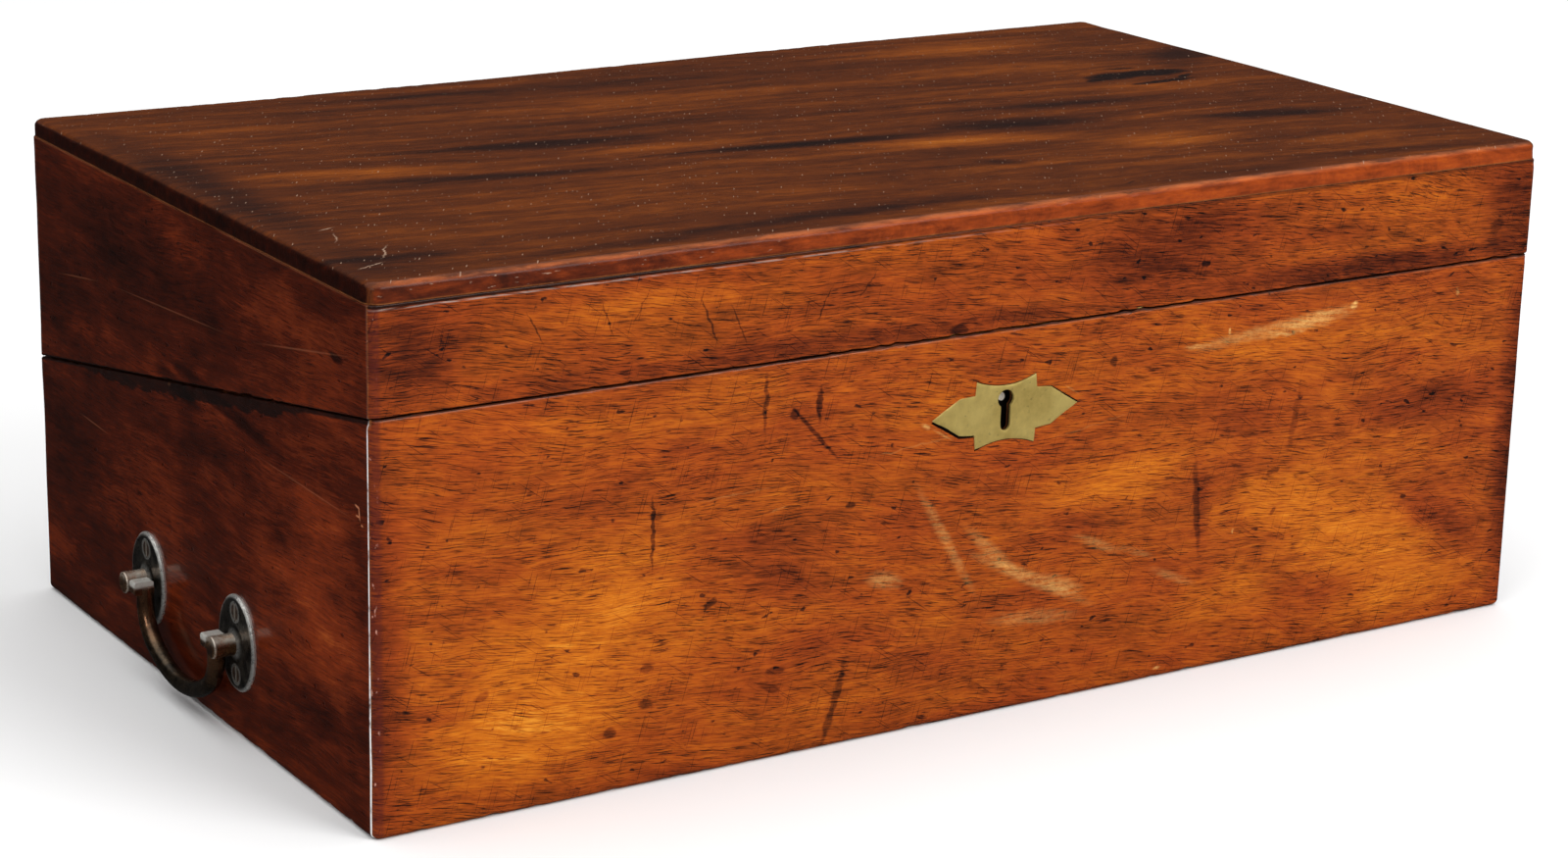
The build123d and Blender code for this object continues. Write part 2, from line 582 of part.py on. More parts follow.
def drop_handle(side_name, side):
    """Two backplates with their posts, and the bail that swings between them."""
    wall = Plane((side * HALF_W, 0, HANDLE_HEIGHT), x_dir=(0, side, 0), z_dir=(side, 0, 0))
    board = f"base_{side_name}_side"
    upright = (Align.CENTER, Align.CENTER, Align.MIN)
    half_spacing = POST_SPACING / 2
    arm_offset = half_spacing - POST_RADIUS - BAIL_ARM_GAP - BAIL_RADIUS
    knuckle_outer = half_spacing - POST_RADIUS - BAIL_KNUCKLE_GAP
    knuckle_inner = knuckle_outer - BAIL_KNUCKLE_WIDTH
    pintle_end = half_spacing - POST_RADIUS + PINTLE_BEARING

    path = bail_path(arm_offset)
    section = Plane(path @ 0, z_dir=path % 0) * Circle(BAIL_RADIUS)
    bail_plane = wall * Pos(0, 0, BAIL_PIVOT_OUT)
    bail = bail_plane * sweep(section, path=path)

    screw_places = []
    for end_name, end in (("front", -side), ("rear", side)):
        across = end * half_spacing
        at_post = wall * Pos(across, 0, 0)
        plate = extrude(Ellipse(BACKPLATE_WIDTH / 2, BACKPLATE_HEIGHT / 2), BACKPLATE)
        plate = chamfer(plate.faces().sort_by(Axis.Z)[-1].edges(), BACKPLATE_BEVEL)
        collar = Pos(0, 0, BACKPLATE) * Cone(COLLAR_RADIUS, POST_RADIUS, COLLAR_HEIGHT, align=upright)
        plate = plate + collar - Cylinder(POST_RADIUS, 3 * POST_LENGTH)

        post = Cylinder(POST_RADIUS, POST_LENGTH, align=upright)
        post = fillet(post.faces().sort_by(Axis.Z)[-1].edges(), POST_EDGE)
        spigot = Cylinder(SPIGOT_RADIUS, SPIGOT_LENGTH, align=(Align.CENTER, Align.CENTER, Align.MAX))
        nodes[board] -= at_post * spigot
        socket_depth = PINTLE_BEARING + PINTLE_END_GAP
        socket = Pos(-end * (POST_RADIUS - socket_depth / 2 + 1), 0, BAIL_PIVOT_OUT) * Rot(0, 90, 0)
        post -= socket * Cylinder(PINTLE_RADIUS + RUNNING_FIT, socket_depth + 2)

        knuckle = span_box(
            sorted((end * knuckle_inner, end * knuckle_outer)),
            (-BAIL_KNUCKLE_HALF_HEIGHT, BAIL_KNUCKLE_HALF_HEIGHT),
            (-BAIL_KNUCKLE_INWARD, BAIL_KNUCKLE_OUTWARD),
        )
        knuckle = fillet(knuckle.edges().filter_by(Axis.X), BAIL_KNUCKLE_EDGE)
        pintle_length = pintle_end - knuckle_inner
        pintle = Pos(end * (knuckle_inner + pintle_length / 2), 0, 0) * Rot(0, 90, 0)
        bail += bail_plane * knuckle
        bail += bail_plane * pintle * Cylinder(PINTLE_RADIUS, pintle_length)

        places = [at_post * Pos(0, up * HANDLE_SCREW_OFFSET, BACKPLATE) * Rot(0, 0, 90) for up in (-1, 1)]
        holes = [place * countersunk(HANDLE_SCREW, slotted=False) for place in places]
        screw_places += places
        nodes[board] -= holes
        nodes[f"{side_name}_{end_name}_backplate"] = at_post * plate - holes
        nodes[f"{side_name}_{end_name}_post"] = at_post * (post + spigot)
    nodes[f"{side_name}_bail"] = bail
    nodes[f"{side_name}_handle_screws"] = Compound(
        children=[place * countersunk(HANDLE_SCREW) for place in screw_places]
    )


sawn_case()
pen_compartment()
base_writing_board()
lid_writing_board()
turn_button()
for hinge_name, hinge_side in (("left", -1), ("right", 1)):
    butt_hinge(hinge_name, hinge_side * (HALF_W - HINGE_FROM_END))
escutcheon()
box_lock()
for handle_name, handle_side in (("left", -1), ("right", 1)):
    drop_handle(handle_name, handle_side)

for node_name, node_shape in nodes.items():
    export_step(node_shape, f"parts/{node_name}.step")
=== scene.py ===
import json
import math

import bmesh
import bpy
from mathutils import Matrix, Vector, noise


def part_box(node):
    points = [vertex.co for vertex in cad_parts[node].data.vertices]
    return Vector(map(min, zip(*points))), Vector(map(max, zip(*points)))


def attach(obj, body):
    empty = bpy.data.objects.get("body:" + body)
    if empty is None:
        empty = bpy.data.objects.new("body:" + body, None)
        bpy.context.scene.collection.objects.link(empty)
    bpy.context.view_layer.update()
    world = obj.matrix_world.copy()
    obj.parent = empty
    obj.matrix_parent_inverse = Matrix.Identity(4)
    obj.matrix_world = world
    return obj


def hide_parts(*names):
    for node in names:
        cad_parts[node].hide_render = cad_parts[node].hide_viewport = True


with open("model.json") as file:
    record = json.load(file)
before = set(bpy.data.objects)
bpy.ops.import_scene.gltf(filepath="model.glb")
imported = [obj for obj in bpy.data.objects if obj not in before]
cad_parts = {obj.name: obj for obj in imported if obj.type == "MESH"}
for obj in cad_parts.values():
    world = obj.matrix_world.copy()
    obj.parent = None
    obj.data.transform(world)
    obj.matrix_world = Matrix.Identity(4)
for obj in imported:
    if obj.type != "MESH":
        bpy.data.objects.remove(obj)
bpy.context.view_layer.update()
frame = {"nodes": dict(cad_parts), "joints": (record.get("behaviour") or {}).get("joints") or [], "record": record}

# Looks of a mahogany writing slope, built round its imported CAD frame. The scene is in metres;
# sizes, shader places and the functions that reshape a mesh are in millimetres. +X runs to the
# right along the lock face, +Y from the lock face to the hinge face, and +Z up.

MM = 0.001


# ---- sizes taken from the frame
def size_mm(node, corner, axis):
    """One coordinate of a node's lowest (0) or highest (1) corner, in millimetres."""
    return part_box(node)[corner][axis] / MM


def middle_mm(node, axis):
    """Middle of a node along an axis, in millimetres."""
    return (size_mm(node, 0, axis) + size_mm(node, 1, axis)) / 2


PLATE = "left_front_backplate"
HALF_W = size_mm("lid_top", 1, 0)
HALF_D = size_mm("lid_top", 1, 1)
HEIGHT = size_mm("lid_top", 1, 2)
TOP_UNDERSIDE = size_mm("lid_top", 0, 2)
joints = {joint["name"]: joint for joint in frame["joints"]}
HINGE_Y, HINGE_Z = (value / MM for value in joints["lid_hinge"]["pos_m"][1:])
RIM_FRONT = size_mm("base_front", 1, 2)
SLOPE = math.atan2(RIM_FRONT - HINGE_Z, HALF_D + HINGE_Y)
HINGE = Vector((0, HINGE_Y, HINGE_Z))
RIM_NORMAL = Vector((0, math.sin(SLOPE), math.cos(SLOPE)))
TO_HINGE = Vector((0, math.cos(SLOPE), -math.sin(SLOPE)))
STAR_Z = middle_mm("escutcheon", 2)
STAR_HALF = size_mm("escutcheon", 1, 0)
STAR_HALF_HEIGHT = size_mm("escutcheon", 1, 2) - STAR_Z
PLATE_Z = middle_mm(PLATE, 2)
PLATE_Y = -middle_mm(PLATE, 1)
PLATE_HALF_Y = -size_mm(PLATE, 0, 1) - PLATE_Y
PLATE_HALF_Z = size_mm(PLATE, 1, 2) - PLATE_Z
PLATE_OUT = -size_mm(PLATE, 0, 0) - HALF_W
POST_OUT = -size_mm("left_front_post", 0, 0) - HALF_W
POST_RADIUS = size_mm("left_front_post", 1, 2) - PLATE_Z
SCREW_RADIUS = 3.3
SCREW_UP = size_mm("left_handle_screws", 1, 2) - PLATE_Z - SCREW_RADIUS
FACE_Y = -HALF_D
LEFT_X = -HALF_W

record = frame["record"]
body_of = {node: body for body, nodes in record["behaviour"]["bodies"].items() for node in nodes}
slot_of = {part["node"]: part["material_slot"] for part in record["subparts"]}


def above_rim(point):
    """Distance of a point, or of a shader's place, above the slanted cut between lid and base."""
    return (point.z - HINGE_Z) * math.cos(SLOPE) + (point.y - HINGE_Y) * math.sin(SLOPE)


def down_slope(point):
    """The same for its place along the cut: 0 at the hinge, negative towards the lock face."""
    return (point.y - HINGE_Y) * math.cos(SLOPE) - (point.z - HINGE_Z) * math.sin(SLOPE)


# ---- shader arithmetic
def set_range(node, start, end, bottom, top):
    """Makes a Map Range node go smoothly from bottom to top between start and end."""
    node.interpolation_type = "SMOOTHSTEP"
    settings = {"From Min": start, "From Max": end, "To Min": bottom, "To Max": top}
    for name, value in settings.items():
        node.inputs[name].default_value = value


class Signal:
    """One output of a node tree, usable in plain arithmetic."""

    def __init__(self, shader, socket):
        self.shader = shader
        self.socket = socket

    def __add__(self, other):
        return self.shader.maths("ADD", self, other)

    def __sub__(self, other):
        return self.shader.maths("SUBTRACT", self, other)

    def __rsub__(self, other):
        return self.shader.maths("SUBTRACT", other, self)

    def __mul__(self, other):
        return self.shader.maths("MULTIPLY", self, other)

    def __neg__(self):
        return self * -1.0

    def __abs__(self):
        return self.shader.maths("ABSOLUTE", self)

    __radd__ = __add__
    __rmul__ = __mul__

    def at_least(self, other):
        return self.shader.maths("MAXIMUM", self, other)

    def at_most(self, other):
        return self.shader.maths("MINIMUM", self, other)

    def rise(self, start, end):
        """0 below start, 1 above end, smooth between them; start may be above end."""
        node = self.shader.nodes.new("ShaderNodeMapRange")
        self.shader.feed(node.inputs["Value"], self)
        if start < end:
            set_range(node, start, end, 0.0, 1.0)
        else:
            set_range(node, end, start, 1.0, 0.0)
        return Signal(self.shader, node.outputs["Result"])


class Shader:
    """One material, its Principled surface, and short names for the nodes that drive it.

    Nodes are made in the order in which they feed each other, because Cycles then needs less room.
    """

    def __init__(self, name):
        self.material = bpy.data.materials.new(name)
        self.material.use_nodes = True
        self.nodes = self.material.node_tree.nodes
        self.links = self.material.node_tree.links
        self.nodes.clear()
        self.surface = self.nodes.new("ShaderNodeBsdfPrincipled")
        output = self.nodes.new("ShaderNodeOutputMaterial")
        self.links.new(self.surface.outputs["BSDF"], output.inputs["Surface"])
        texture = self.nodes.new("ShaderNodeTexCoord")
        scale = self.nodes.new("ShaderNodeVectorMath")
        scale.operation = "SCALE"
        scale.inputs["Scale"].default_value = 1 / MM
        self.links.new(texture.outputs["Object"], scale.inputs[0])
        self.place = Signal(self, scale.outputs["Vector"])
        split = self.nodes.new("ShaderNodeSeparateXYZ")
        self.feed(split.inputs["Vector"], self.place)
        self.x, self.y, self.z = (Signal(self, split.outputs[axis]) for axis in "XYZ")

    def feed(self, socket, value):
        if isinstance(value, Signal):
            self.links.new(value.socket, socket)
        else:
            socket.default_value = value

    def maths(self, operation, first, second=0.0):
        node = self.nodes.new("ShaderNodeMath")
        node.operation = operation
        self.feed(node.inputs[0], first)
        self.feed(node.inputs[1], second)
        return Signal(self, node.outputs["Value"])

    def vector(self, x, y, z=0.0):
        node = self.nodes.new("ShaderNodeCombineXYZ")
        for socket, value in zip(node.inputs, (x, y, z)):
            self.feed(socket, value)
        return Signal(self, node.outputs["Vector"])

    def within(self, vector, centre, size, turn=0.0):
        """Coordinates from a centre, turned by some degrees, in units of size along each axis."""
        node = self.nodes.new("ShaderNodeMapping")
        node.vector_type = "TEXTURE"
        self.feed(node.inputs["Vector"], vector)
        node.inputs["Location"].default_value = (*centre, 0.0)[:3]
        node.inputs["Rotation"].default_value = (0, 0, math.radians(turn))
        node.inputs["Scale"].default_value = (*size, 1.0)[:3]
        return Signal(self, node.outputs["Vector"])

    def noise(self, vector, size, detail=2.0, rough=0.5, shift=0.0):
        """Noise about 0, roughly -1 to 1, whose lumps are size millimetres along each axis."""
        lumps_at = self.within(vector, (shift, shift, shift), size)
        node = self.nodes.new("ShaderNodeTexNoise")
        node.inputs["Scale"].default_value = 1.0
        node.inputs["Detail"].default_value = detail
        node.inputs["Roughness"].default_value = rough
        self.feed(node.inputs["Vector"], lumps_at)
        return (Signal(self, node.outputs[0]) - 0.5) * 2.0

    def spot(self, vector, centre, half, turn=0.0, soft=0.6):
        """1 inside an ellipse with these half sizes, fading to 0 at its edge."""
        from_centre = self.within(vector, centre, half, turn)
        node = self.nodes.new("ShaderNodeTexGradient")
        node.gradient_type = "SPHERICAL"
        self.feed(node.inputs["Vector"], from_centre)
        return Signal(self, node.outputs[1]).rise(0.0, soft)

    def mix(self, first, second, share):
        """Colour first where share is 0, second where it is 1."""
        node = self.nodes.new("ShaderNodeMix")
        node.data_type = "RGBA"
        inputs = [socket for socket in node.inputs if socket.type == "RGBA"]
        output = next(socket for socket in node.outputs if socket.type == "RGBA")
        self.feed(node.inputs[0], share)
        self.feed(inputs[0], self.colour(first))
        self.feed(inputs[1], self.colour(second))
        return Signal(self, output)

    def colour(self, value):
        return value if isinstance(value, Signal) else (*value, 1.0)

    def ramp(self, share, stops):
        """Colour that runs through the (place, colour) stops as share goes from 0 to 1."""
        node = self.nodes.new("ShaderNodeValToRGB")
        self.feed(node.inputs["Fac"], share)
        elements = node.color_ramp.elements
        while len(elements) < len(stops):
            elements.new(0.5)
        for element, (place, shade) in zip(elements, stops):
            element.position = place
            element.color = (*shade, 1.0)
        return Signal(self, node.outputs["Color"])

    def bump(self, height_mm):
        """Tilts the surface by a height in millimetres."""
        node = self.nodes.new("ShaderNodeBump")
        node.inputs["Distance"].default_value = MM
        self.feed(node.inputs["Height"], height_mm)
        self.links.new(node.outputs["Normal"], self.surface.inputs["Normal"])

    def finish(self, colour, roughness, metallic=0.0, coat=0.0, coat_roughness=0.1, level=0.5):
        self.feed(self.surface.inputs["Base Color"], self.colour(colour))
        self.feed(self.surface.inputs["Roughness"], roughness)
        self.feed(self.surface.inputs["Metallic"], metallic)
        self.feed(self.surface.inputs["Coat Weight"], coat)
        self.surface.inputs["Coat Roughness"].default_value = coat_roughness
        self.surface.inputs["Specular IOR Level"].default_value = level
        return self.material


# ---- marks on the wood
# Each mark is (along, up, half length, half width, turn in degrees, strength): along and up are
# X and Z on the lock face, Y and Z on the left side, and X and Y on the top. Patches are broad and
# soft, strokes are dark dents and scratches, and scuffs are pale.
FRONT_PATCHES = (
    (-168, 56, 75, 42, 20, 0.3),
    (-195, 24, 55, 24, 0, 0.34),
    (-225, 75, 30, 50, 0, 0.04),
    (-248, 66, 15, 95, 0, -0.26),
    (-140, 132, 85, 14, 0, 0.1),
    (-95, 74, 45, 22, 0, -0.1),
    (55, 80, 48, 15, 3, 0.14),
    (165, 44, 70, 30, -30, 0.31),
    (120, 62, 42, 20, -10, 0.12),
    (110, 25, 50, 22, 0, 0.1),
    (205, 14, 55, 18, -10, 0.12),
    (130, 122, 85, 18, 0, 0.12),
    (205, 92, 60, 13, 2, -0.22),
    (215, 40, 45, 10, -32, -0.14),
    (92, 66, 6, 30, 3, -0.12),
    (20, 14, 65, 24, 0, 0.02),
    (-60, 2, 220, 7, 0, -0.08),
    (249, 70, 14, 110, 0, -0.4),
    (-236, 165, 30, 30, 0, -0.3),
    (-150, 170, 75, 13, 0, 0.16),
    (-60, 166, 60, 14, 0, -0.06),
    (70, 166, 62, 24, 0, -0.26),
    (170, 172, 55, 11, 0, 0.1),
    (240, 166, 24, 30, 0, -0.26),
    (170, 149, 100, 8, 0, -0.3),
    (-60, 149, 190, 6, 0, -0.2),
)
FRONT_STROKES = (
    (-145, 91, 16, 0.9, 90, 0.3),
    (-144, 97, 3, 2.4, 0, 0.18),
    (-101, 131, 13, 1.2, 88, 0.24),
    (-79, 128, 8, 1.6, 90, 0.36),
    (-81, 118, 17, 1.0, -48, 0.26),
    (-89, 125.5, 2.6, 2.6, 0, 0.3),
    (90, 66, 24, 2.0, 96, 0.2),
    (135, 93, 15, 2.0, 81, 0.12),
    (-70, 16, 20, 2.2, 74, 0.24),
    (-122, 62, 4, 1.5, 45, 0.28),
    (-161, 22, 3, 2.8, 0, 0.26),
    (-95, 33, 5, 1.8, 0, 0.26),
    (-97, 27, 6, 2.2, -30, 0.2),
    (-65, 89, 3, 1.6, 0, 0.3),
    (-192, 112, 2, 1.3, 0, 0.25),
    (-210, 44, 4, 1.8, 25, 0.2),
    (-147, 43, 3, 2.2, 0, 0.25),
    (-147, 30, 3.6, 2, 0, 0.28),
    (126, 74, 4, 1.6, 25, 0.24),
    (48, 127, 2.4, 2.6, 0, 0.22),
    (127, 58, 3, 1.3, 25, 0.24),
    (193, 54, 1.8, 1.1, 0, 0.35),
    (237, 51, 3, 1.4, 0, 0.15),
    (88, 159, 2.8, 1.7, 0, 0.32),
    (-22, 147.3, 5, 2.6, 0, 0.3),
    (70, 91, 75, 0.5, -1, 0.16),
    (-185, 36, 40, 0.5, 3, 0.12),
    (160, 84, 50, 0.45, -2, 0.12),
    (-190, 168, 8, 0.4, -62, 0.22),
    (-163, 168, 8, 0.4, -70, 0.22),
    (-150, 171, 8, 0.35, 58, 0.18),
    (-124, 163, 11, 0.5, -68, 0.24),
    (-112, 160, 10, 0.4, -66, 0.2),
    (-78, 163, 9, 0.4, 62, 0.2),
    (-60, 168, 8, 0.35, 50, 0.18),
    (231, 158, 5, 3, 60, 0.12),
)
FRONT_SCUFFS = (
    (-24, 70, 32, 3.0, -59, 0.36),
    (14, 49.5, 38, 3.6, -27, 0.52),
    (-4, 63, 20, 3.6, -42, 0.34),
    (28, 45, 14, 4.4, -22, 0.4),
    (44, 58, 15, 2.6, -24, 0.32),
    (62, 52, 12, 2.0, -20, 0.24),
    (80, 39.5, 16, 2.4, -24, 0.28),
    (-50, 59, 10, 4.4, -14, 0.46),
    (16, 34, 26, 4.0, -6, 0.32),
    (120, 129.8, 44, 3.8, 5, 0.5),
    (143, 131.2, 24, 4.2, 7, 0.6),
    (161, 134.6, 2.6, 1.8, 50, 1.3),
    (130, 127.4, 14, 1.4, 2, 0.55),
    (86, 127.6, 8, 1.2, 0, 0.6),
    (101, 132.0, 0.8, 2.0, 0, 0.9),
    (-95, 92, 5, 0.7, 10, 0.35),
    (108, 53, 0.8, 1.6, 0, 0.6),
    (213, 134, 1.0, 2.2, 0, 0.45),
    (-34, 113.5, 2.6, 1.3, -25, 0.75),
    (-27, 109.5, 6, 0.7, -30, 0.45),
    (29, 119, 5, 0.6, -32, 0.35),
    (75, 4, 2.4, 0.9, 5, 0.8),
    (-38, 107, 26, 0.6, 5, 0.22),
    (-112, 100, 22, 0.5, 2, 0.18),
    (40, 104, 24, 0.5, 8, 0.18),
)
SIDE_PATCHES = (
    (-105, 132, 60, 40, 0, 0.1),
    (-112, 72, 45, 55, 0, 0.2),
    (70, 150, 110, 34, 0, -0.2),
    (-60, 60, 80, 50, 0, 0.05),
    (125, 95, 55, 110, 0, -0.12),
    (0, 95, 14, 70, 3, -0.08),
    (-50, 90, 12, 60, 0, -0.06),
    (-108, 32, 22, 16, 0, -0.12),
    (-75, 168, 60, 14, 0, 0.08),
)
SIDE_STROKES = (
    (-123, 160, 6, 2.4, 0, 0.35),
    (-25, 121, 60, 4, 7, 0.22),
    (10, 117, 26, 4.5, 9, 0.25),
    (60, 60, 9, 0.5, 80, 0.12),
)
SIDE_SCUFFS = (
    (103, 136.5, 25, 0.45, -8, 0.2),
    (15, 144, 66, 0.45, -3.5, 0.18),
    (-98, 156.5, 48, 0.5, -10, 0.22),
    (-98, 109, 48, 0.45, 1, 0.22),
    (92, 82, 18, 0.45, 2, 0.25),
    (18, 116, 1.6, 1.2, 0, 0.8),
    (-139, 111.5, 3.2, 0.6, 80, 1.3),
    (-137.5, 113.6, 2.4, 0.6, 10, 1.3),
    (-137.8, 110.4, 1.8, 0.5, 0, 1.2),
    (-141, 108, 1.2, 0.6, 0, 1.0),
    (1, 2, 1.2, 2, 0, 0.9),
)
TOP_PATCHES = (
    (-100, 18, 85, 13, -10, -0.3),
    (-10, -26, 80, 9, -6, -0.32),
    (88, -32, 58, 16, -13, -0.3),
    (190, -58, 50, 10, -12, -0.24),
    (130, -6, 80, 12, -8, -0.14),
    (38, -86, 16, 8, -40, -0.14),
    (-85, -132, 150, 11, 2, -0.22),
    (140, -136, 120, 8, 2, -0.1),
    (-238, 0, 18, 150, 0, -0.16),
    (-236, -122, 42, 26, 0, -0.2),
    (236, 60, 20, 45, -40, -0.16),
    (-60, 118, 130, 16, -5, -0.12),
    (-140, -24, 90, 8, -12, -0.18),
    (-60, 45, 110, 16, -6, -0.1),
    (-178, 2, 66, 14, -12, 0.22),
    (-62, -6, 55, 9, -6, 0.16),
    (48, -48, 78, 13, -12, 0.22),
    (120, -82, 50, 18, -14, 0.24),
    (190, -108, 50, 14, 0, 0.14),
    (150, 62, 90, 26, -6, 0.14),
    (160, 110, 80, 24, -4, 0.16),
    (-40, 78, 150, 14, -6, 0.12),
    (185, 8, 50, 12, -8, 0.12),
    (-190, 92, 50, 12, -8, 0.1),
    (-150, -70, 100, 24, -8, 0.05),
)
TOP_STROKES = (
    (180, 32, 18, 8.5, 4, 0.75),
    (200, 31, 19, 8.5, -4, 0.7),
    (167, 27.5, 7, 3, 10, 0.55),
    (192, 14, 21, 3.2, 3, 0.65),
    (207, 19.5, 8, 2.6, 30, 0.45),
    (192, 44.5, 10, 1.8, -10, 0.4),
    (60, -136, 5, 0.7, 20, 0.25),
    (126, 23, 1.6, 1.6, 0, 0.3),
    (35, -56, 4, 5, 0, 0.1),
)
TOP_SCUFFS = (
    (-232, -85, 9, 0.5, 70, 0.5),
    (-226, -110, 12, 0.6, 60, 0.6),
    (-238, -125, 8, 0.6, 30, 0.6),
    (-229, -72, 5, 0.6, 20, 0.5),
)


def linear(red, green, blue):
    """Linear colour of 8-bit screen values."""
    shares = (red / 255, green / 255, blue / 255)
    return tuple(v / 12.92 if v <= 0.04045 else ((v + 0.055) / 1.055) ** 2.4 for v in shares)


def shades(*stops):
    """Stops of a ramp from (place, red, green, blue), the last three as 8-bit screen values."""
    return tuple((place, linear(*screen)) for place, *screen in stops)


RED_SHADES = shades(
    (0.00, 22, 11, 10),
    (0.25, 88, 33, 12),
    (0.50, 144, 59, 17),
    (0.75, 178, 80, 18),
    (1.00, 214, 122, 42),
)
GOLD_SHADES = shades(
    (0.00, 26, 15, 10),
    (0.25, 98, 44, 13),
    (0.50, 160, 74, 16),
    (0.75, 198, 108, 20),
    (1.00, 232, 156, 48),
)
SIDE_SHADES = shades(
    (0.00, 14, 5, 4),
    (0.30, 44, 12, 4),
    (0.50, 73, 22, 5),
    (0.75, 124, 45, 10),
    (1.00, 174, 84, 28),
)
TOP_SHADES = shades(
    (0.00, 24, 11, 9),
    (0.25, 46, 21, 12),
    (0.50, 84, 39, 14),
    (0.75, 128, 64, 17),
    (1.00, 176, 100, 30),
)
INNER_SHADES = shades(
    (0.00, 38, 20, 10),
    (0.50, 116, 66, 32),
    (1.00, 174, 114, 62),
)
PINE_SHADES = shades((0.0, 52, 34, 20), (0.5, 128, 92, 56), (1.0, 176, 138, 92))
GREEN_SHADES = shades((0.0, 12, 16, 12), (0.4, 30, 46, 32), (0.7, 58, 76, 50), (1.0, 120, 112, 74))
FRONT_SCUFF = linear(222, 170, 96)
SIDE_SCUFF = linear(176, 110, 74)
TOP_SCUFF = linear(190, 160, 136)
# A dark colour for stains and for painted shade in seams, grooves and recesses.
STAIN_AND_SHADE = linear(20, 13, 11)
# Near-white colour of the line along the front board's joint on the left side.
PALE_JOINT_COLOUR = linear(246, 242, 240)
# Painted highlight colour of the rim's rounded edge.
PAINTED_RIM_HIGHLIGHT = linear(176, 108, 72)
# Painted highlight colour of the edge under the top board's joint.
PAINTED_GROOVE_HIGHLIGHT = linear(190, 182, 172)
# Painted reflection colour of the lock face's rounded left corner.
PAINTED_CORNER_REFLECTION = linear(84, 30, 24)
CORNER_NICK = linear(216, 158, 138)
# Painted highlight colour of the top's front arris.
PAINTED_ARRIS_HIGHLIGHT = linear(204, 108, 54)
JOINT_INSET = 2.0
POLISH_DEPTH = (1.4, 2.2)


class Board:
    """Grain shared by the boards: fibre coordinates, figure, pores, dents and placed marks."""

    def __init__(self, shader, along, across, through, drift=7.0, lean=0.05, streaky=0.34):
        self.shader = shader
        self.streaky = streaky
        self.face = shader.vector(along, across)
        place = shader.vector(along, across, through)
        wander = shader.noise(place, (120, 55, 60), detail=1) * drift
        wander += shader.noise(place, (34, 15, 30), detail=1, shift=3) * (drift * 0.32)
        self.fibre = shader.vector(along, across + wander - along * lean, through)
        shake = shader.noise(self.face, (5, 5, 5), detail=3, rough=0.6)
        self.rough_face = shader.vector(along + shake * 2.0, across - shake * 1.3)
        self.figure = self.make_figure()
        self.pores = self.make_pores()
        self.knocks = self.make_knocks()

    def make_figure(self):
        """Broad and fine colour variation along the grain, about 0."""
        shader = self.shader
        broad = shader.noise(self.fibre, (75, 17, 30), detail=3, rough=0.55)
        streaks = shader.noise(self.fibre, (14, 0.75, 6), detail=4, rough=0.72)
        cloud = shader.noise(self.fibre, (13, 5, 8), detail=4, rough=0.65)
        return broad * 0.20 + streaks * self.streaky + cloud * 0.24

    def make_pores(self):
        """Dark dashes along the grain, 0 to 1, crowded in some places."""
        shader = self.shader
        dashes = shader.noise(self.fibre, (9.0, 0.40, 2.5), detail=2, rough=0.62).rise(0.12, 0.26)
        crowding = shader.noise(self.fibre, (40, 12, 20), detail=2, shift=17).rise(-0.45, 0.30)
        return dashes * (crowding * 0.7 + 0.3)

    def finish(self, wood, outside, roughness, **coating):
        """The material: this wood where outside is 1, and bare wood elsewhere."""
        bare = self.shader.ramp(self.figure + 0.5 - self.pores * 0.15, INNER_SHADES)
        return self.shader.finish(self.shader.mix(bare, wood, outside), roughness, **coating)

    def cracks(self):
        """Long fine dark lines that cross the grain at a low angle, 0 to 1."""
        leaning = self.shader.within(self.fibre, (0, 0), (1, 1), -5)
        return self.shader.noise(leaning, (13, 0.36, 3), detail=2, shift=29).rise(0.20, 0.30)

    def make_knocks(self):
        """Small dark dents scattered over the surface, 0 to 1."""
        knocks = self.shader.noise(self.rough_face, (5.0, 2.8, 3), detail=1, shift=53)
        return knocks.rise(0.44, 0.58)

    def hairlines(self):
        """Fine scratches in a few directions, 0 to 1."""
        shader = self.shader
        total = 0.0
        for turn, shift in ((74, 3), (-36, 11)):
            turned = shader.within(self.face, (0, 0), (1, 1), turn)
            lines = shader.noise(turned, (15, 0.45, 1), detail=0, shift=shift)
            total = total + lines.rise(0.42, 0.62)
        return total

    def marks(self, marks, soft=0.6, rough=True):
        """Sum of the marks' masks, each times its strength."""
        face = self.rough_face if rough else self.face
        total = 0.0
        for along, up, half_long, half_wide, turn, strength in marks:
            mask = self.shader.spot(face, (along, up), (half_long, half_wide), turn, soft)
            total = total + mask * strength
        return total


def polished(place, face):
    """1 on a board's outer face and round its worn edges, 0 on its inside and sawn rims."""
    return place.rise(face - POLISH_DEPTH[1], face - POLISH_DEPTH[0])


def near(value, line, half_width, soft):
    """1 within half_width of a line, 0 beyond that and soft."""
    return abs(value - line).rise(half_width + soft, half_width)


def lock_face_wood():
    """Figured golden mahogany of the front board, with its dents, ink and scuffs, and painted highlights, a
    painted reflection and painted shade along its edges.
    """
    shader = Shader("front_mahogany")
    board = Board(shader, shader.x, shader.z, shader.y, lean=-0.07)
    outside = polished(-shader.y, HALF_D)
    wood = figured_front(shader, board)
    rubbing = shader.noise(board.fibre, (9, 0.9, 3), detail=2, shift=7).rise(-0.35, 0.25)
    ragged = shader.noise(board.rough_face, (1.9, 1.3, 1), detail=4, rough=0.75, shift=61)
    worn_through = rubbing * 0.5 + 0.05 + ragged.rise(-0.22, 0.28) * 0.4
    scuffs = board.marks(FRONT_SCUFFS, soft=0.8) * worn_through
    wood = shader.mix(wood, FRONT_SCUFF, scuffs)
    wood = front_edges(shader, board, wood, rubbing)
    shader.bump(board.pores * -0.06 - board.knocks * 0.12)
    gloss = board.knocks * 0.2 + scuffs * 0.2 + 0.40
    return board.finish(wood, outside, gloss, coat=0.25, coat_roughness=0.12, level=0.06)


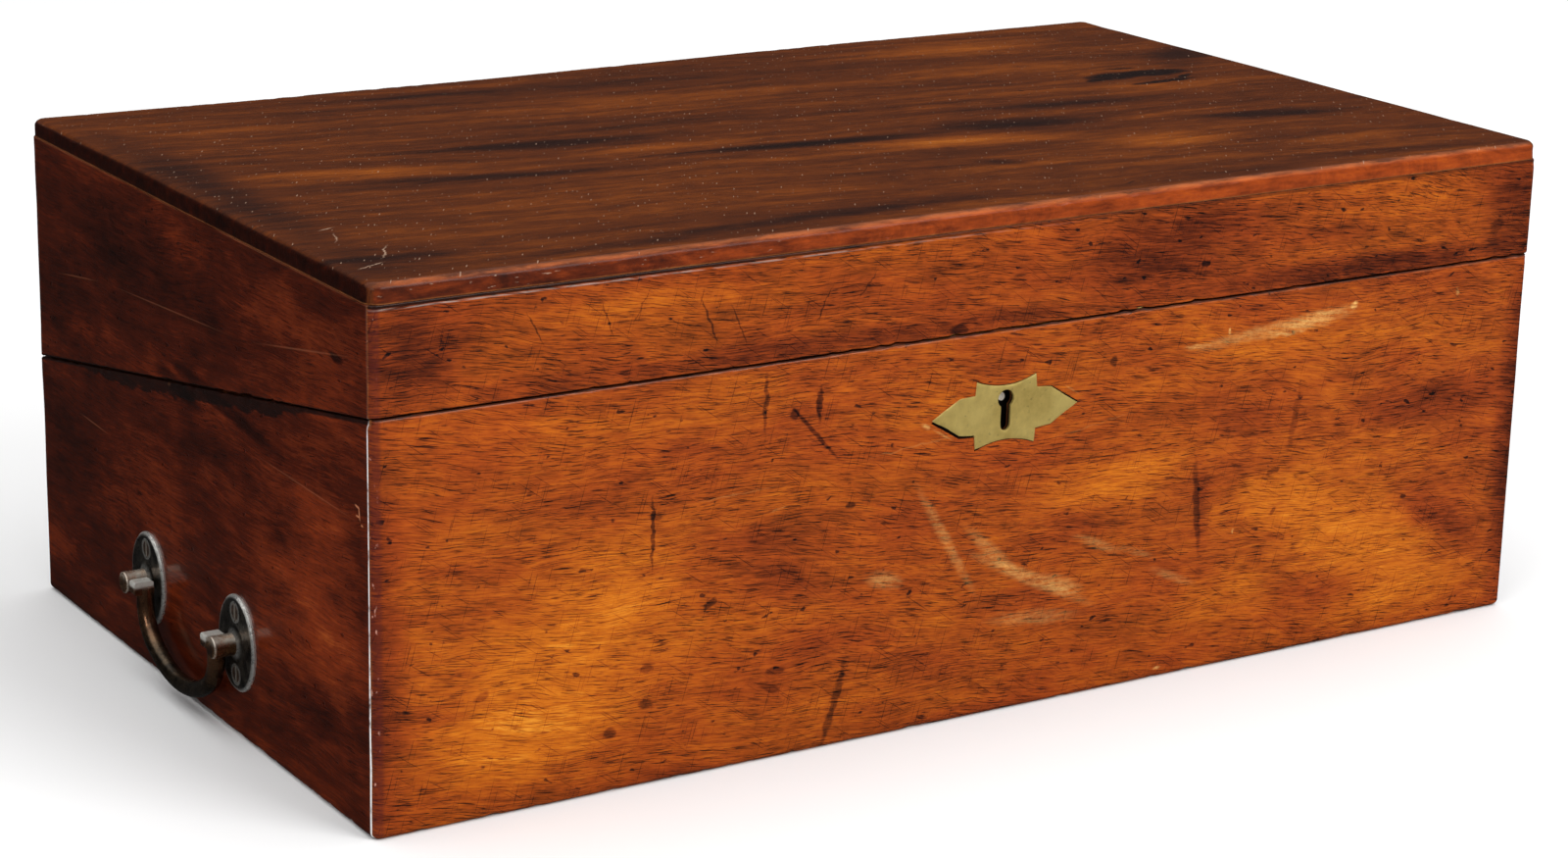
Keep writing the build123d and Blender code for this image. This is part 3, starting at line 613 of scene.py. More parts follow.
def figured_front(shader, board):
    """Colour of the lock face before its scuffs: red and golden wood, pores and dents."""
    strokes = board.marks(FRONT_STROKES, soft=0.5)
    patches = board.marks(FRONT_PATCHES, soft=1.0) * 0.68
    on_lid = shader.z.rise(RIM_FRONT - 1, RIM_FRONT + 2)
    tone = board.figure + 0.515 + patches - board.cracks() * 0.36 - on_lid * 0.05
    tone = tone - board.pores * 0.43 - board.knocks * 0.38 - board.hairlines() * 0.22 - strokes
    golden = shader.noise(board.fibre, (50, 18, 30), detail=3, shift=41) + patches * 4.0
    reds = shader.ramp(tone, RED_SHADES)
    return shader.mix(reds, shader.ramp(tone, GOLD_SHADES), golden.rise(-0.6, 0.6))


def front_edges(shader, board, wood, rubbing):
    """Adds painted highlights on the rim and under the top, a painted reflection and nicks on the rounded left
    corner, and painted shade in the lid-base seam, the groove under the top and the star's recess.
    """
    # Painted highlight: a pale broken line on the rounded edge just below the lid-base seam.
    painted_rim_highlight = near(shader.z, RIM_FRONT - 0.55, 0.20, 0.25) * rubbing
    wood = shader.mix(wood, PAINTED_RIM_HIGHLIGHT, painted_rim_highlight * 0.3)
    # Painted shade: a dark line in the gap of the seam between lid and base.
    seam_shade = near(shader.z, RIM_FRONT + 0.25, 0.45, 0.35) * 0.8
    left_end = shader.x.rise(60, -150)
    # Painted shade: a dark line in the groove under the top board, stronger towards the left end.
    joint_groove_shade = near(shader.z, TOP_UNDERSIDE, 0.9, 0.4) * (left_end * 0.4 + 0.5)
    # Painted highlight: a thin pale line on the lock face just below the top board's joint, broken and fading
    # towards the right.
    groove_edge_highlight = near(shader.z, TOP_UNDERSIDE - 1.6, 0.15, 0.30) * rubbing * left_end
    wood = shader.mix(wood, PAINTED_GROOVE_HIGHLIGHT, groove_edge_highlight * 0.40)
    # Painted reflection: a dark red band down the rounded left corner, standing in for what its polish mirrors
    # there.
    corner = shader.x.rise(LEFT_X + 4.6, LEFT_X + 2.8) * (rubbing * 0.35 + 0.35)
    wood = shader.mix(wood, PAINTED_CORNER_REFLECTION, corner)
    nicks = shader.noise(shader.place, (2.4, 2.4, 3.6), detail=2, shift=91).rise(0.28, 0.42)
    nicks = nicks * shader.x.rise(LEFT_X + 3.0, LEFT_X + 1.4)
    wood = shader.mix(wood, CORNER_NICK, nicks * 0.7)
    star_outline = (STAR_HALF + 2, STAR_HALF_HEIGHT + 6)
    # Painted shade: the star's recess, below the wood's face, is darkened.
    in_recess = shader.spot(board.face, (0, STAR_Z), star_outline, soft=0.05)
    recess_shade = in_recess * shader.y.rise(FACE_Y + 0.15, FACE_Y + 0.35)
    return shader.mix(wood, STAIN_AND_SHADE, seam_shade.at_least(joint_groove_shade).at_least(recess_shade))


def seam_stain_and_shade(shader, board):
    """Dark stain that has crept from the saw cut into the middle of the left side, and painted shade in the seam's
    gap along the cut.
    """
    above = above_rim(shader)
    along = shader.y.rise(120, 60) * shader.y.rise(-120, -60)
    ragged = shader.noise(board.face, (11, 3, 3), detail=4, rough=0.65)
    depth = (ragged * 6.0 + 5.0) * along
    below = (above + depth).rise(-0.5, 0.8) * above.rise(1.2, 0.4)
    # The thin line along the cut is painted shade of the seam's gap.
    return below.at_least(near(above, 0.0, 0.8, 0.6))


def joint_line(shader):
    """Pale line where the end of the front board meets the side, thicker towards the foot."""
    wide = shader.z.rise(90, 10) * 0.40 + 0.34
    worn_off = shader.noise(shader.place, (3, 3, 7), detail=3, rough=0.65).rise(-0.50, 0.05)
    line = (abs(shader.y + HALF_D - JOINT_INSET) - wide).rise(0.25, 0.0)
    fade = shader.z.rise(RIM_FRONT + 2, RIM_FRONT - 6) * 0.98 + 0.02
    return line * worn_off * fade


def side_wood(name, marked):
    """Dark red-brown mahogany of the two sides; the left one has the photographed marks."""
    shader = Shader(name)
    board = Board(shader, shader.y, shader.z, shader.x, lean=-0.04, streaky=0.32)
    outside = polished(abs(shader.x), HALF_W)
    cloud = shader.noise(board.fibre, (70, 24, 40), detail=3, rough=0.5, shift=67)
    tone = board.figure * 0.8 + cloud * 0.26 + 0.5 - board.pores * 0.24 - board.knocks * 0.16
    if marked:
        tone = tone + board.marks(SIDE_PATCHES, soft=1.0) - board.marks(SIDE_STROKES)
    wood = shader.ramp(tone, SIDE_SHADES)
    if marked:
        wood = shader.mix(wood, SIDE_SCUFF, board.marks(SIDE_SCUFFS, soft=0.8, rough=False))
        wood = shader.mix(wood, STAIN_AND_SHADE, seam_stain_and_shade(shader, board) * 0.85)
        wood = shader.mix(wood, PALE_JOINT_COLOUR, joint_line(shader))
    under_top = near(shader.z, TOP_UNDERSIDE - 0.2, 0.12, 0.25) * cloud.rise(-0.35, 0.25)
    wood = shader.mix(wood, SIDE_SCUFF, under_top * 0.3)
    shader.bump(board.pores * -0.04 - board.knocks * 0.08)
    return board.finish(wood, outside, 0.42, coat=0.4, coat_roughness=0.09, level=0.04)


def back_wood():
    """The back board, in the sides' colour with its grain along X."""
    shader = Shader("back_mahogany")
    board = Board(shader, shader.x, shader.z, shader.y)
    outside = polished(shader.y, HALF_D)
    wood = shader.ramp(board.figure * 0.8 + 0.5 - board.pores * 0.12, SIDE_SHADES)
    shader.bump(board.pores * -0.04)
    return board.finish(wood, outside, 0.42, coat=0.15, coat_roughness=0.2, level=0.3)


def top_wood():
    """Dark top board with ribbon figure along X, an ink stain, and a worn front edge with a painted highlight
    along its arris.
    """
    shader = Shader("top_mahogany")
    board = Board(shader, shader.x, shader.y, shader.z, drift=9.0, lean=-0.10)
    outside = shader.z.rise(TOP_UNDERSIDE + 0.2, TOP_UNDERSIDE + 0.8)
    ribbon = shader.noise(board.fibre, (150, 8, 40), detail=4, rough=0.62, shift=5)
    patches = board.marks(TOP_PATCHES, soft=1.0)
    tone = board.figure * 0.6 + ribbon * 0.31 + 0.50 + patches * 1.3
    blotchy = shader.noise(board.face, (7, 1.6, 1), detail=4, rough=0.7, shift=13) * 1.7 + 0.85
    tone = tone - board.pores * 0.14 - board.marks(TOP_STROKES) * blotchy.at_least(0.0)
    wood = top_edges(shader, board, tone)
    wood = shader.mix(wood, TOP_SCUFF, board.marks(TOP_SCUFFS, soft=0.8))
    shader.bump(board.pores * -0.05)
    return board.finish(wood, outside, 0.45, coat=0.15, coat_roughness=0.18, level=0.05)


def top_edges(shader, board, tone):
    """Colour of the top with its mottled front edge, a painted highlight along that edge's arris, its dark ends
    and its pale specks.
    """
    edge = shader.y.rise(FACE_Y + 1.5, FACE_Y + 0.5)
    mottle = shader.noise(shader.place, (18, 4, 3), detail=4, rough=0.65, shift=71)
    left_end = shader.x.rise(-20, -190)
    edge_tone = board.figure * 0.6 + mottle * 0.34 + 0.45 - left_end * 0.24
    flecks = shader.noise(shader.place, (4, 2, 1.2), detail=2, shift=37).rise(0.34, 0.52)
    flecks = flecks * left_end * edge
    wood = shader.mix(shader.ramp(tone, TOP_SHADES), shader.ramp(edge_tone, RED_SHADES), edge)
    wood = shader.mix(wood, TOP_SCUFF, flecks * 0.5)
    # Painted highlight: a mottled orange glow along the rounded front arris of the top.
    arris = near(shader.z, HEIGHT - 0.9, 0.4, 1.0) * shader.y.rise(FACE_Y + 2.6, FACE_Y + 1.4)
    wood = shader.mix(wood, PAINTED_ARRIS_HIGHLIGHT, arris * mottle.rise(-0.4, 0.4) * 0.5)
    side_edge = abs(shader.x).rise(HALF_W - 1.2, HALF_W - 0.4)
    wood = shader.mix(wood, shader.ramp(edge_tone, SIDE_SHADES), side_edge)
    leaning = shader.within(board.face, (0, 0), (1, 1), 58)
    specks = shader.noise(leaning, (4.2, 0.7, 1), detail=0, shift=83)
    on_top = (1.0 - edge) * (1.0 - side_edge)
    return shader.mix(wood, TOP_SCUFF, specks.rise(0.56, 0.64) * on_top * 0.45)


def inner_wood():
    """Waxed mahogany of the pieces inside the box."""
    shader = Shader("inner_mahogany")
    board = Board(shader, shader.x, shader.z, shader.y)
    wood = shader.ramp(board.figure + 0.5 - board.pores * 0.2, INNER_SHADES)
    shader.bump(board.pores * -0.04)
    return shader.finish(wood, 0.5, level=0.2)


def bottom_wood():
    """Bare aged pine of the bottom board."""
    shader = Shader("bottom_pine")
    board = Board(shader, shader.x, shader.y, shader.z)
    return shader.finish(shader.ramp(board.figure + 0.5, PINE_SHADES), 0.7)


# ---- metal and leather
def old_brass(name, clean, dull, grime, roughness, metallic):
    """Brass or bronze: clean in random patches and in slanting stripes of painted sheen, clouded with dull patina,
    grimy in spots.
    """
    shader = Shader(name)
    cloud = shader.noise(shader.place, (9, 9, 9), detail=4, rough=0.6)
    spots = shader.noise(shader.place, (2.2, 2.2, 2.2), detail=3, rough=0.6, shift=9)
    patina = (cloud * 1.2 + 0.5).at_least(0.0).at_most(1.0)
    # Painted sheen: broad slanting stripes where the patina thins, as if the metal caught the light.
    slanting = shader.within(shader.vector(shader.x, shader.z), (0, 0), (1, 1), 52)
    painted_sheen = shader.noise(slanting, (34, 11, 1), detail=1)
    patina = (patina - painted_sheen * 0.9).at_least(0.0).at_most(1.0)
    colour = shader.mix(clean, dull, patina)
    grimy = spots.rise(0.25, 0.6)
    colour = shader.mix(colour, grime, grimy * 0.6)
    shader.bump(spots * 0.03 + cloud * 0.04)
    return shader.finish(colour, patina * 0.12 + roughness + grimy * 0.1, metallic=metallic)


def handle_places(shader):
    """How far out of the side, and places round a handle's post and round its screw."""
    out = abs(shader.x) - HALF_W
    across = abs(shader.y) - PLATE_Y
    up = shader.z - PLATE_Z
    return out, shader.vector(across, up), shader.vector(across, abs(up) - SCREW_UP)


def bail_bronze():
    """Bails: copper brown arms, a darker bow, and a painted highlight on the knuckles' tops, pale and less
    metallic.
    """
    shader = Shader("bail_bronze")
    cloud = shader.noise(shader.place, (6, 6, 6), detail=4, rough=0.6)
    spots = shader.noise(shader.place, (1.6, 1.6, 1.6), detail=3, rough=0.6, shift=9)
    low_down = shader.z.rise(PLATE_Z - 6, PLATE_Z - 22)
    patina = (cloud * 1.2 + 0.45).rise(0.1, 0.9)
    copper = shader.mix(linear(150, 106, 76), linear(74, 50, 38), patina)
    bow = shader.mix(linear(88, 74, 58), linear(40, 35, 29), patina)
    colour = shader.mix(copper, bow, low_down)
    # Painted highlight: above the post's middle the bail turns pale silver and less metallic, as the knuckle tops
    # catch the light.
    bail_top_highlight = shader.z.rise(PLATE_Z - 0.6, PLATE_Z + 1.2)
    colour = shader.mix(colour, linear(232, 230, 222), bail_top_highlight * (0.9 - spots * 0.4))
    colour = shader.mix(colour, linear(30, 25, 22), spots.rise(0.22, 0.55) * 0.6)
    shader.bump(spots * 0.03 + cloud * 0.06)
    return shader.finish(colour, spots * 0.08 + 0.25, metallic=bail_top_highlight * -0.45 + 0.92)


def post_bronze():
    """Posts: brown and copper in patches, with a painted highlight round the edge of the end and along the top."""
    shader = Shader("post_bronze")
    out, at_post, _ = handle_places(shader)
    cloud = shader.noise(shader.place, (3, 3, 3), detail=4, rough=0.6)
    patina = (cloud * 1.3 + 0.5).rise(0.1, 0.9)
    colour = shader.mix(linear(150, 108, 72), linear(70, 48, 36), patina)
    # Painted highlights: a pale ring round the edge of the post's end and a pale top, where the light falls.
    edge = 1.0 - shader.spot(at_post, (0, 0), (POST_RADIUS + 0.1, POST_RADIUS + 0.1), soft=0.18)
    end_edge_highlight = edge * out.rise(POST_OUT - 1.2, POST_OUT - 0.4) * (cloud * 0.6 + 0.8)
    post_top_highlight = shader.z.rise(PLATE_Z + 0.5, PLATE_Z + 3.0) * (cloud * 0.8 + 0.7)
    pale = end_edge_highlight.at_least(post_top_highlight * 0.8).at_most(1.0)
    colour = shader.mix(colour, linear(214, 204, 190), pale)
    shader.bump(cloud * 0.08)
    return shader.finish(colour, cloud * 0.1 + 0.28, metallic=pale * -0.4 + 0.9)


def backplate_bronze():
    """Backplates: nearly black with grime, with painted highlights: a pale rim, pale lips round the screws and a
    fainter pale outer face.
    """
    shader = Shader("backplate_bronze")
    out, at_post, at_screw = handle_places(shader)
    cloud = shader.noise(shader.place, (5, 5, 5), detail=4, rough=0.65)
    spots = shader.noise(shader.place, (1.2, 1.2, 1.2), detail=2, shift=5)
    patina = (cloud * 1.4 + 0.6).rise(0.1, 0.9)
    colour = shader.mix(linear(84, 78, 70), linear(34, 31, 28), patina)
    # Painted highlights: a pale rim, pale lips round the screws and a fainter pale outer face, where the edges
    # catch the light.
    rim = 1.0 - shader.spot(at_post, (0, 0), (PLATE_HALF_Y, PLATE_HALF_Z), soft=0.10)
    lip_highlight = 1.0 - shader.spot(at_screw, (0, 0), (SCREW_RADIUS + 0.2, SCREW_RADIUS + 0.2), soft=0.02)
    lip_highlight = lip_highlight * shader.spot(at_screw, (0, 0), (SCREW_RADIUS + 1.0, SCREW_RADIUS + 1.0), soft=0.20)
    outer_face_highlight = out.rise(PLATE_OUT - 1.0, PLATE_OUT - 0.2) * 0.35
    bright = (rim.at_least(lip_highlight * 0.7).at_least(outer_face_highlight) * (spots * 0.5 + 1.0)).at_most(1.0)
    colour = shader.mix(colour, linear(232, 230, 224), bright)
    shader.bump(cloud * 0.10 + spots * 0.04)
    return shader.finish(colour, spots * 0.10 + 0.30, metallic=0.8)


def screw_bronze():
    """Handle screws: dull heads with a painted highlight round their edges and along the slot."""
    shader = Shader("screw_bronze")
    _, _, at_screw = handle_places(shader)
    spots = shader.noise(shader.place, (1.2, 1.2, 1.2), detail=3, rough=0.6, shift=9)
    patina = (spots * 1.2 + 0.5).rise(0.1, 0.9)
    colour = shader.mix(linear(140, 112, 92), linear(70, 58, 50), patina)
    # Painted highlights: pale round each head's edge and along the slot.
    edge = 1.0 - shader.spot(at_screw, (0, 0), (SCREW_RADIUS, SCREW_RADIUS), soft=0.25)
    slot_highlight = near(abs(shader.y) - PLATE_Y, 0.0, 0.55, 0.15)
    bright = (edge.at_least(slot_highlight) * 0.8).at_most(1.0)
    colour = shader.mix(colour, linear(220, 214, 204), bright)
    return shader.finish(colour, 0.32, metallic=0.85)


BORDER_INSETS = (15.0, 18.6)
BORDER_HALF_LINE = 0.35
GROOVE_HALF = 0.7
STAMP_PITCH = 3.6


def sheet_span(node):
    """Middle and half size of a leather along X and down the slope, in millimetres."""
    corners = [vertex.co / MM for vertex in frame["nodes"][node].data.vertices]
    spans = []
    for places in ([corner.x for corner in corners], [down_slope(corner) for corner in corners]):
        spans.append(((min(places) + max(places)) / 2, (max(places) - min(places)) / 2))
    return spans


def leather(node):
    """Dark green writing leather, rubbed and stained, with a gilt border tooled round it."""
    shader = Shader(f"{node}_green")
    (middle_x, half_x), (middle_v, half_v) = sheet_span(node)
    along = shader.x - middle_x
    across = down_slope(shader) - middle_v
    inset = (abs(along) * -1.0 + half_x).at_most(abs(across) * -1.0 + half_v)
    face = shader.vector(along, across)
    cells = shader.noise(face, (1.1, 1.1, 1), detail=3, rough=0.6)
    creases = shader.noise(face, (5, 5, 1), detail=4, rough=0.7, shift=4)
    rubbed = shader.noise(face, (70, 48, 1), detail=4, rough=0.62, shift=8)
    worn_middle = shader.spot(face, (0, -half_v * 0.1), (half_x * 0.8, half_v * 0.85), soft=1.0)
    tone = rubbed * 0.50 + cells * 0.10 + creases * 0.14 + worn_middle * 0.07 + 0.42
    colour = shader.ramp(tone, GREEN_SHADES)
    ink = shader.noise(face, (26, 20, 1), detail=4, rough=0.65, shift=21).rise(0.42, 0.50)
    drops = shader.noise(face, (6, 6, 1), detail=2, rough=0.5, shift=33).rise(0.56, 0.60)
    colour = shader.mix(colour, linear(16, 16, 22), ink.at_least(drops) * 0.75)
    lines = near(inset, BORDER_INSETS[0], BORDER_HALF_LINE, 0.12)
    lines = lines.at_least(near(inset, BORDER_INSETS[1], BORDER_HALF_LINE, 0.12))
    waves = shader.maths("SINE", (along + across) * (2 * math.pi / STAMP_PITCH)).rise(0.1, 0.5)
    stamps = near(inset, sum(BORDER_INSETS) / 2, 0.75, 0.2) * waves
    gilt = lines.at_least(stamps * 0.9) * (rubbed * -0.6 + creases * 0.5 + 0.75).rise(0.15, 0.55)
    colour = shader.mix(colour, linear(206, 166, 84), gilt * 0.85)
    shader.bump(cells * 0.07 + creases * 0.10 - stamps * 0.12)
    return shader.finish(colour, 0.52 - gilt * 0.2 - worn_middle * 0.08, metallic=gilt * 0.7)


# ---- dressing the frame
BRASS = (linear(244, 216, 128), linear(200, 172, 94), linear(104, 82, 44))
# Paler brass, painted on the star's up-left bevels as a highlight.
BRASS_BEVEL_HIGHLIGHT = (linear(255, 246, 196), linear(244, 226, 160), linear(200, 170, 100))
PIN_STEEL = (linear(214, 206, 190), linear(176, 166, 150), linear(110, 98, 84))
STEEL = (linear(120, 114, 108), linear(66, 60, 56), linear(34, 26, 22))

materials = {
    "front_mahogany": lock_face_wood(),
    "side_mahogany": side_wood("right_side_mahogany", marked=False),
    "left_side": side_wood("left_side_mahogany", marked=True),
    "back": back_wood(),
    "top_mahogany": top_wood(),
    "inner_mahogany": inner_wood(),
    "bottom_pine": bottom_wood(),
    "fitting_brass": old_brass("fitting_brass", *BRASS, roughness=0.36, metallic=0.7),
    "brass_bevel_highlight": old_brass("brass_bevel_highlight", *BRASS_BEVEL_HIGHLIGHT, roughness=0.3, metallic=0.5),
    "lock_pin": old_brass("lock_pin", *PIN_STEEL, roughness=0.5, metallic=0.3),
    "handle_brass": bail_bronze(),
    "backplate": backplate_bronze(),
    "post": post_bronze(),
    "handle_screws": screw_bronze(),
    "lock_steel": old_brass("lock_steel", *STEEL, roughness=0.45, metallic=0.8),
    "base_flap_leather": leather("base_flap_leather"),
    "lid_flap_leather": leather("lid_flap_leather"),
}


def material_for(node):
    for name in ("left_side", "backplate", "post", "handle_screws", "flap_leather", "lock_pin"):
        if node.endswith(name):
            return materials.get(node, materials.get(name))
    if node.endswith("_back"):
        return materials["back"]
    return materials[slot_of[node]]


def put_on(piece, material):
    piece.data.materials.clear()
    piece.data.materials.append(material)


# ---- worn boards
AXES = (Vector((1, 0, 0)), Vector((0, 1, 0)), Vector((0, 0, 1)))
CUT_LONG = 2.0
CUT_SHORT = 12.0
EDGE_ROWS = (0.9, 1.8, 3.2, 6.0)
SHEET_CUT = 6.0
SHEET_EDGE_ROWS = (0.4, 1.0)
LONG_AXIS = {"front": 0, "back": 0, "top": 0, "left_side": 1, "right_side": 1}
SHARP_ANGLE = math.radians(38)
FLAT_ANGLE = math.radians(0.5)
ON_PLANE = 1e-7
SAME_PLACE = 0.002 * MM
SHORTEST_EDGE = 0.03 * MM
SKIN = 0.2
ARRIS_BAND = 4.0
END_BAND = 3.0
STAR_ROOM = (3.0, 17.0)
PLATE_ROOM = (3.0, 18.0, 21.0)
HINGE_ROOM = (3.0, 8.0)
SIDE_STEP = 0.7
TOP_SAG = 1.2
SAG_X = -110.0


def smooth(value, start, end):
    """0 at start, 1 at end, smooth between them."""
    share = min(1.0, max(0.0, (value - start) / (end - start)))
    return share * share * (3 - 2 * share)


def lumps(point, size, shift=0.0):
    """Noise from -1 to 1 with lumps of this size."""
    return noise.noise(point / size + Vector((shift, shift, shift)))


def is_fitted(point):
    """True where a fitting lies on the wood, which then stays flat."""
    from_star = (abs(point.x) - STAR_HALF, abs(point.z - STAR_Z))
    from_plate = (HALF_W - abs(point.x), abs(abs(point.y) - PLATE_Y), abs(point.z - PLATE_Z))
    from_hinge = (HALF_D - point.y, abs(above_rim(point)))
    at_star = point.y < 0 and closer(from_star, STAR_ROOM)
    return at_star or closer(from_plate, PLATE_ROOM) or closer(from_hinge, HINGE_ROOM)


def closer(distances, limits):
    """True if every distance is below its limit."""
    return all(distance < limit for distance, limit in zip(distances, limits))


def worn(point):
    """Where handling has moved a point of the new box, in millimetres."""
    if is_fitted(point):
        return point
    side = smooth(abs(point.x), HALF_W - ARRIS_BAND, HALF_W - SKIN)
    face = smooth(abs(point.y), HALF_D - ARRIS_BAND, HALF_D - SKIN)
    top = smooth(point.z, HEIGHT - END_BAND, HEIGHT - SKIN)
    foot = smooth(point.z, END_BAND, SKIN)
    rim = smooth(abs(above_rim(point)), 2.6, 0.3)
    outside = max(side, face)
    arris = min(side, face) + min(outside, top) + min(outside, foot)
    nick = max(0.0, lumps(point, 4.5) - 0.18) * 1.7
    rub = 0.5 + 0.5 * lumps(point, 22, 5)
    depth = 0.05 + 0.06 * lumps(point, 60, 2)
    depth += arris * (0.22 * rub + 0.7 * nick) + rim * (0.08 + 0.5 * nick)
    base_step = SIDE_STEP * side if point.x > 0 and above_rim(point) < 0 else 0.0
    moved = point.copy()
    moved.x -= math.copysign(side * depth + base_step, point.x)
    moved.y -= math.copysign(face * depth, point.y)
    moved.z += (foot - top) * depth
    rim_nick = math.copysign(rim * outside * (0.05 + 0.75 * nick), above_rim(point))
    moved += RIM_NORMAL * rim_nick
    sag = TOP_SAG * smooth(point.y, -40, HALF_D) * smooth(abs(point.x - SAG_X), 200, 40)
    dip = sag + 0.25 + 0.25 * lumps(point, 90, 8)
    moved.z -= smooth(point.z, HEIGHT - END_BAND, HEIGHT) * dip
    at_front = smooth(point.y, FACE_Y + 6, FACE_Y)
    front_edge = smooth(point.z, TOP_UNDERSIDE + 2, HEIGHT - 1) * at_front
    moved.y += front_edge * (0.35 + 0.35 * lumps(point, 30, 4))
    return moved


def even_cuts(node, axis, step, rows=()):
    """Cutting planes through a node: step apart, and rows in from both of its ends."""
    low, high = size_mm(node, 0, axis), size_mm(node, 1, axis)
    places = [low + step * (i + 1) for i in range(int((high - low) / step))]
    inner = [row for row in rows if row < (high - low) / 2]
    places += [low + row for row in inner]
    places += [high - row for row in inner]
    return [(AXES[axis] * place, AXES[axis]) for place in places]


def grid_planes(node, long_axis):
    """Cutting planes through a board: close together along it, and beside its edges and rims."""
    planes = []
    for axis in range(3):
        planes += even_cuts(node, axis, CUT_LONG if axis == long_axis else CUT_SHORT, EDGE_ROWS)
    for row in EDGE_ROWS:
        planes.append((HINGE + RIM_NORMAL * row, RIM_NORMAL))
        planes.append((HINGE - RIM_NORMAL * row, RIM_NORMAL))
    return planes


def gridded_copy(node, name, planes):
    """A new piece with a CAD node's shape, its faces cut along the planes."""
    mesh = frame["nodes"][node].data.copy()
    cutter = bmesh.new()
    cutter.from_mesh(mesh)
    bmesh.ops.remove_doubles(cutter, verts=cutter.verts, dist=SAME_PLACE)
    bmesh.ops.dissolve_limit(cutter, angle_limit=FLAT_ANGLE, verts=cutter.verts, edges=cutter.edges)
    for point, normal in planes:
        everything = cutter.verts[:] + cutter.edges[:] + cutter.faces[:]
        bmesh.ops.bisect_plane(
            cutter, geom=everything, dist=ON_PLANE, plane_co=point * MM, plane_no=normal
        )
    bmesh.ops.dissolve_degenerate(cutter, edges=cutter.edges, dist=SHORTEST_EDGE)
    cutter.to_mesh(mesh)
    cutter.free()
    return add_object(name, mesh)


def add_object(name, data):
    added = bpy.data.objects.new(name, data)
    bpy.context.scene.collection.objects.link(added)
    return added


def reshape(piece, move, flat=None):
    """Moves every vertex by a function of its place in millimetres, then shades the piece smooth.

    Faces whose middle meets the flat test keep a flat shade.
    """
    for vertex in piece.data.vertices:
        vertex.co = move(vertex.co / MM) * MM
    piece.data.shade_smooth()
    piece.data.set_sharp_from_angle(angle=SHARP_ANGLE)
    if flat:
        for face in piece.data.polygons:
            face.use_smooth = not flat(face.center / MM)


def stand_for(piece, node):
    """The piece is shown in place of a CAD node, moves as it does and has its finish."""
    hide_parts(node)
    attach(piece, body_of[node])
    put_on(piece, material_for(node))


STAR_CUT = 2.0
STAR_GAP = 0.35
STAR_BEVEL = 0.7 * MM
STAR_CORNER = math.radians(50)
STAR_PROUD = 0.18
LEFT_TIP_RISE = 0.9
RIGHT_TIP_RISE = -0.5
LOW_LEFT_CUT = 0.55
LOW_RIGHT_CUT = 0.30


def star_plate():
    """The escutcheon: a slightly uneven, soft-edged star, a hair smaller than its recess, with a painted highlight
    in paler brass on the bevels that face up and to the left.
    """
    planes = even_cuts("escutcheon", 0, STAR_CUT) + even_cuts("escutcheon", 2, STAR_CUT)
    piece = gridded_copy("escutcheon", "star_plate", planes)
    bevel = piece.modifiers.new("softened", "BEVEL")
    bevel.width = STAR_BEVEL
    bevel.segments = 2
    bevel.limit_method = "ANGLE"
    bevel.angle_limit = STAR_CORNER
    apply_modifiers(piece)

    def uneven(point):
        moved = point.copy()
        tip = smooth(abs(point.x), 12, STAR_HALF)
        tip_rise = LEFT_TIP_RISE if point.x < 0 else RIGHT_TIP_RISE
        moved.z += tip * tip_rise + 0.12 * lumps(point, 5, 3)
        moved.x -= math.copysign(tip * STAR_GAP, point.x) - 0.12 * lumps(point, 4, 7)
        moved.z -= (point.z - STAR_Z) * STAR_GAP / STAR_HALF_HEIGHT
        moved.y -= STAR_PROUD + 0.05 * lumps(point, 9, 1)
        low_left = smooth(-point.x, 10, 14) * smooth(STAR_Z - point.z, 1, 5)
        low_right = smooth(point.x, 14, 20) * smooth(STAR_Z - point.z, 1, 4)
        moved.z += low_left * LOW_LEFT_CUT + low_right * LOW_RIGHT_CUT
        return moved

    reshape(piece, uneven)
    stand_for(piece, "escutcheon")
    piece.data.materials.append(materials["brass_bevel_highlight"])
    # Painted highlight: the bevels facing up and left, towards the light, take the paler brass.
    for face in piece.data.polygons:
        is_bevel = 0.2 < -face.normal.y < 0.97
        faces_up_left = face.normal.z - face.normal.x > 0.1
        if is_bevel and faces_up_left:
            face.material_index = 1


def apply_modifiers(piece):
    """Leaves the piece with the mesh that its modifiers make."""
    graph = bpy.context.evaluated_depsgraph_get()
    shaped = bpy.data.meshes.new_from_object(piece.evaluated_get(graph))
    piece.modifiers.clear()
    piece.data = shaped


def tooled_leather(node):
    """A writing leather: a cut sheet, softly uneven, its border lines pressed in."""
    (middle_x, half_x), (middle_v, half_v) = sheet_span(node)
    planes = []
    for along in sheet_rows(half_x):
        planes.append((AXES[0] * (middle_x + along), AXES[0]))
    for across in sheet_rows(half_v):
        planes.append((HINGE + TO_HINGE * (middle_v + across), TO_HINGE))
    piece = gridded_copy(node, f"tooled_{node}", planes)

    def pressed(point):
        depth = abs(above_rim(point))
        shown = smooth(depth, 0.9, 0.5)
        inset = min(half_x - abs(point.x - middle_x), half_v - abs(down_slope(point) - middle_v))
        line = min(abs(inset - place) for place in BORDER_INSETS)
        groove = smooth(line, GROOVE_HALF, BORDER_HALF_LINE)
        edge = smooth(inset, 1.0, 0.0)
        sink = 0.05 + 0.04 * lumps(point, 40, 6) + 0.02 * lumps(point, 9, 2)
        sink += groove * 0.16 + edge * 0.12
        return point + RIM_NORMAL * math.copysign(shown * sink, above_rim(point))

    reshape(piece, pressed)
    stand_for(piece, node)


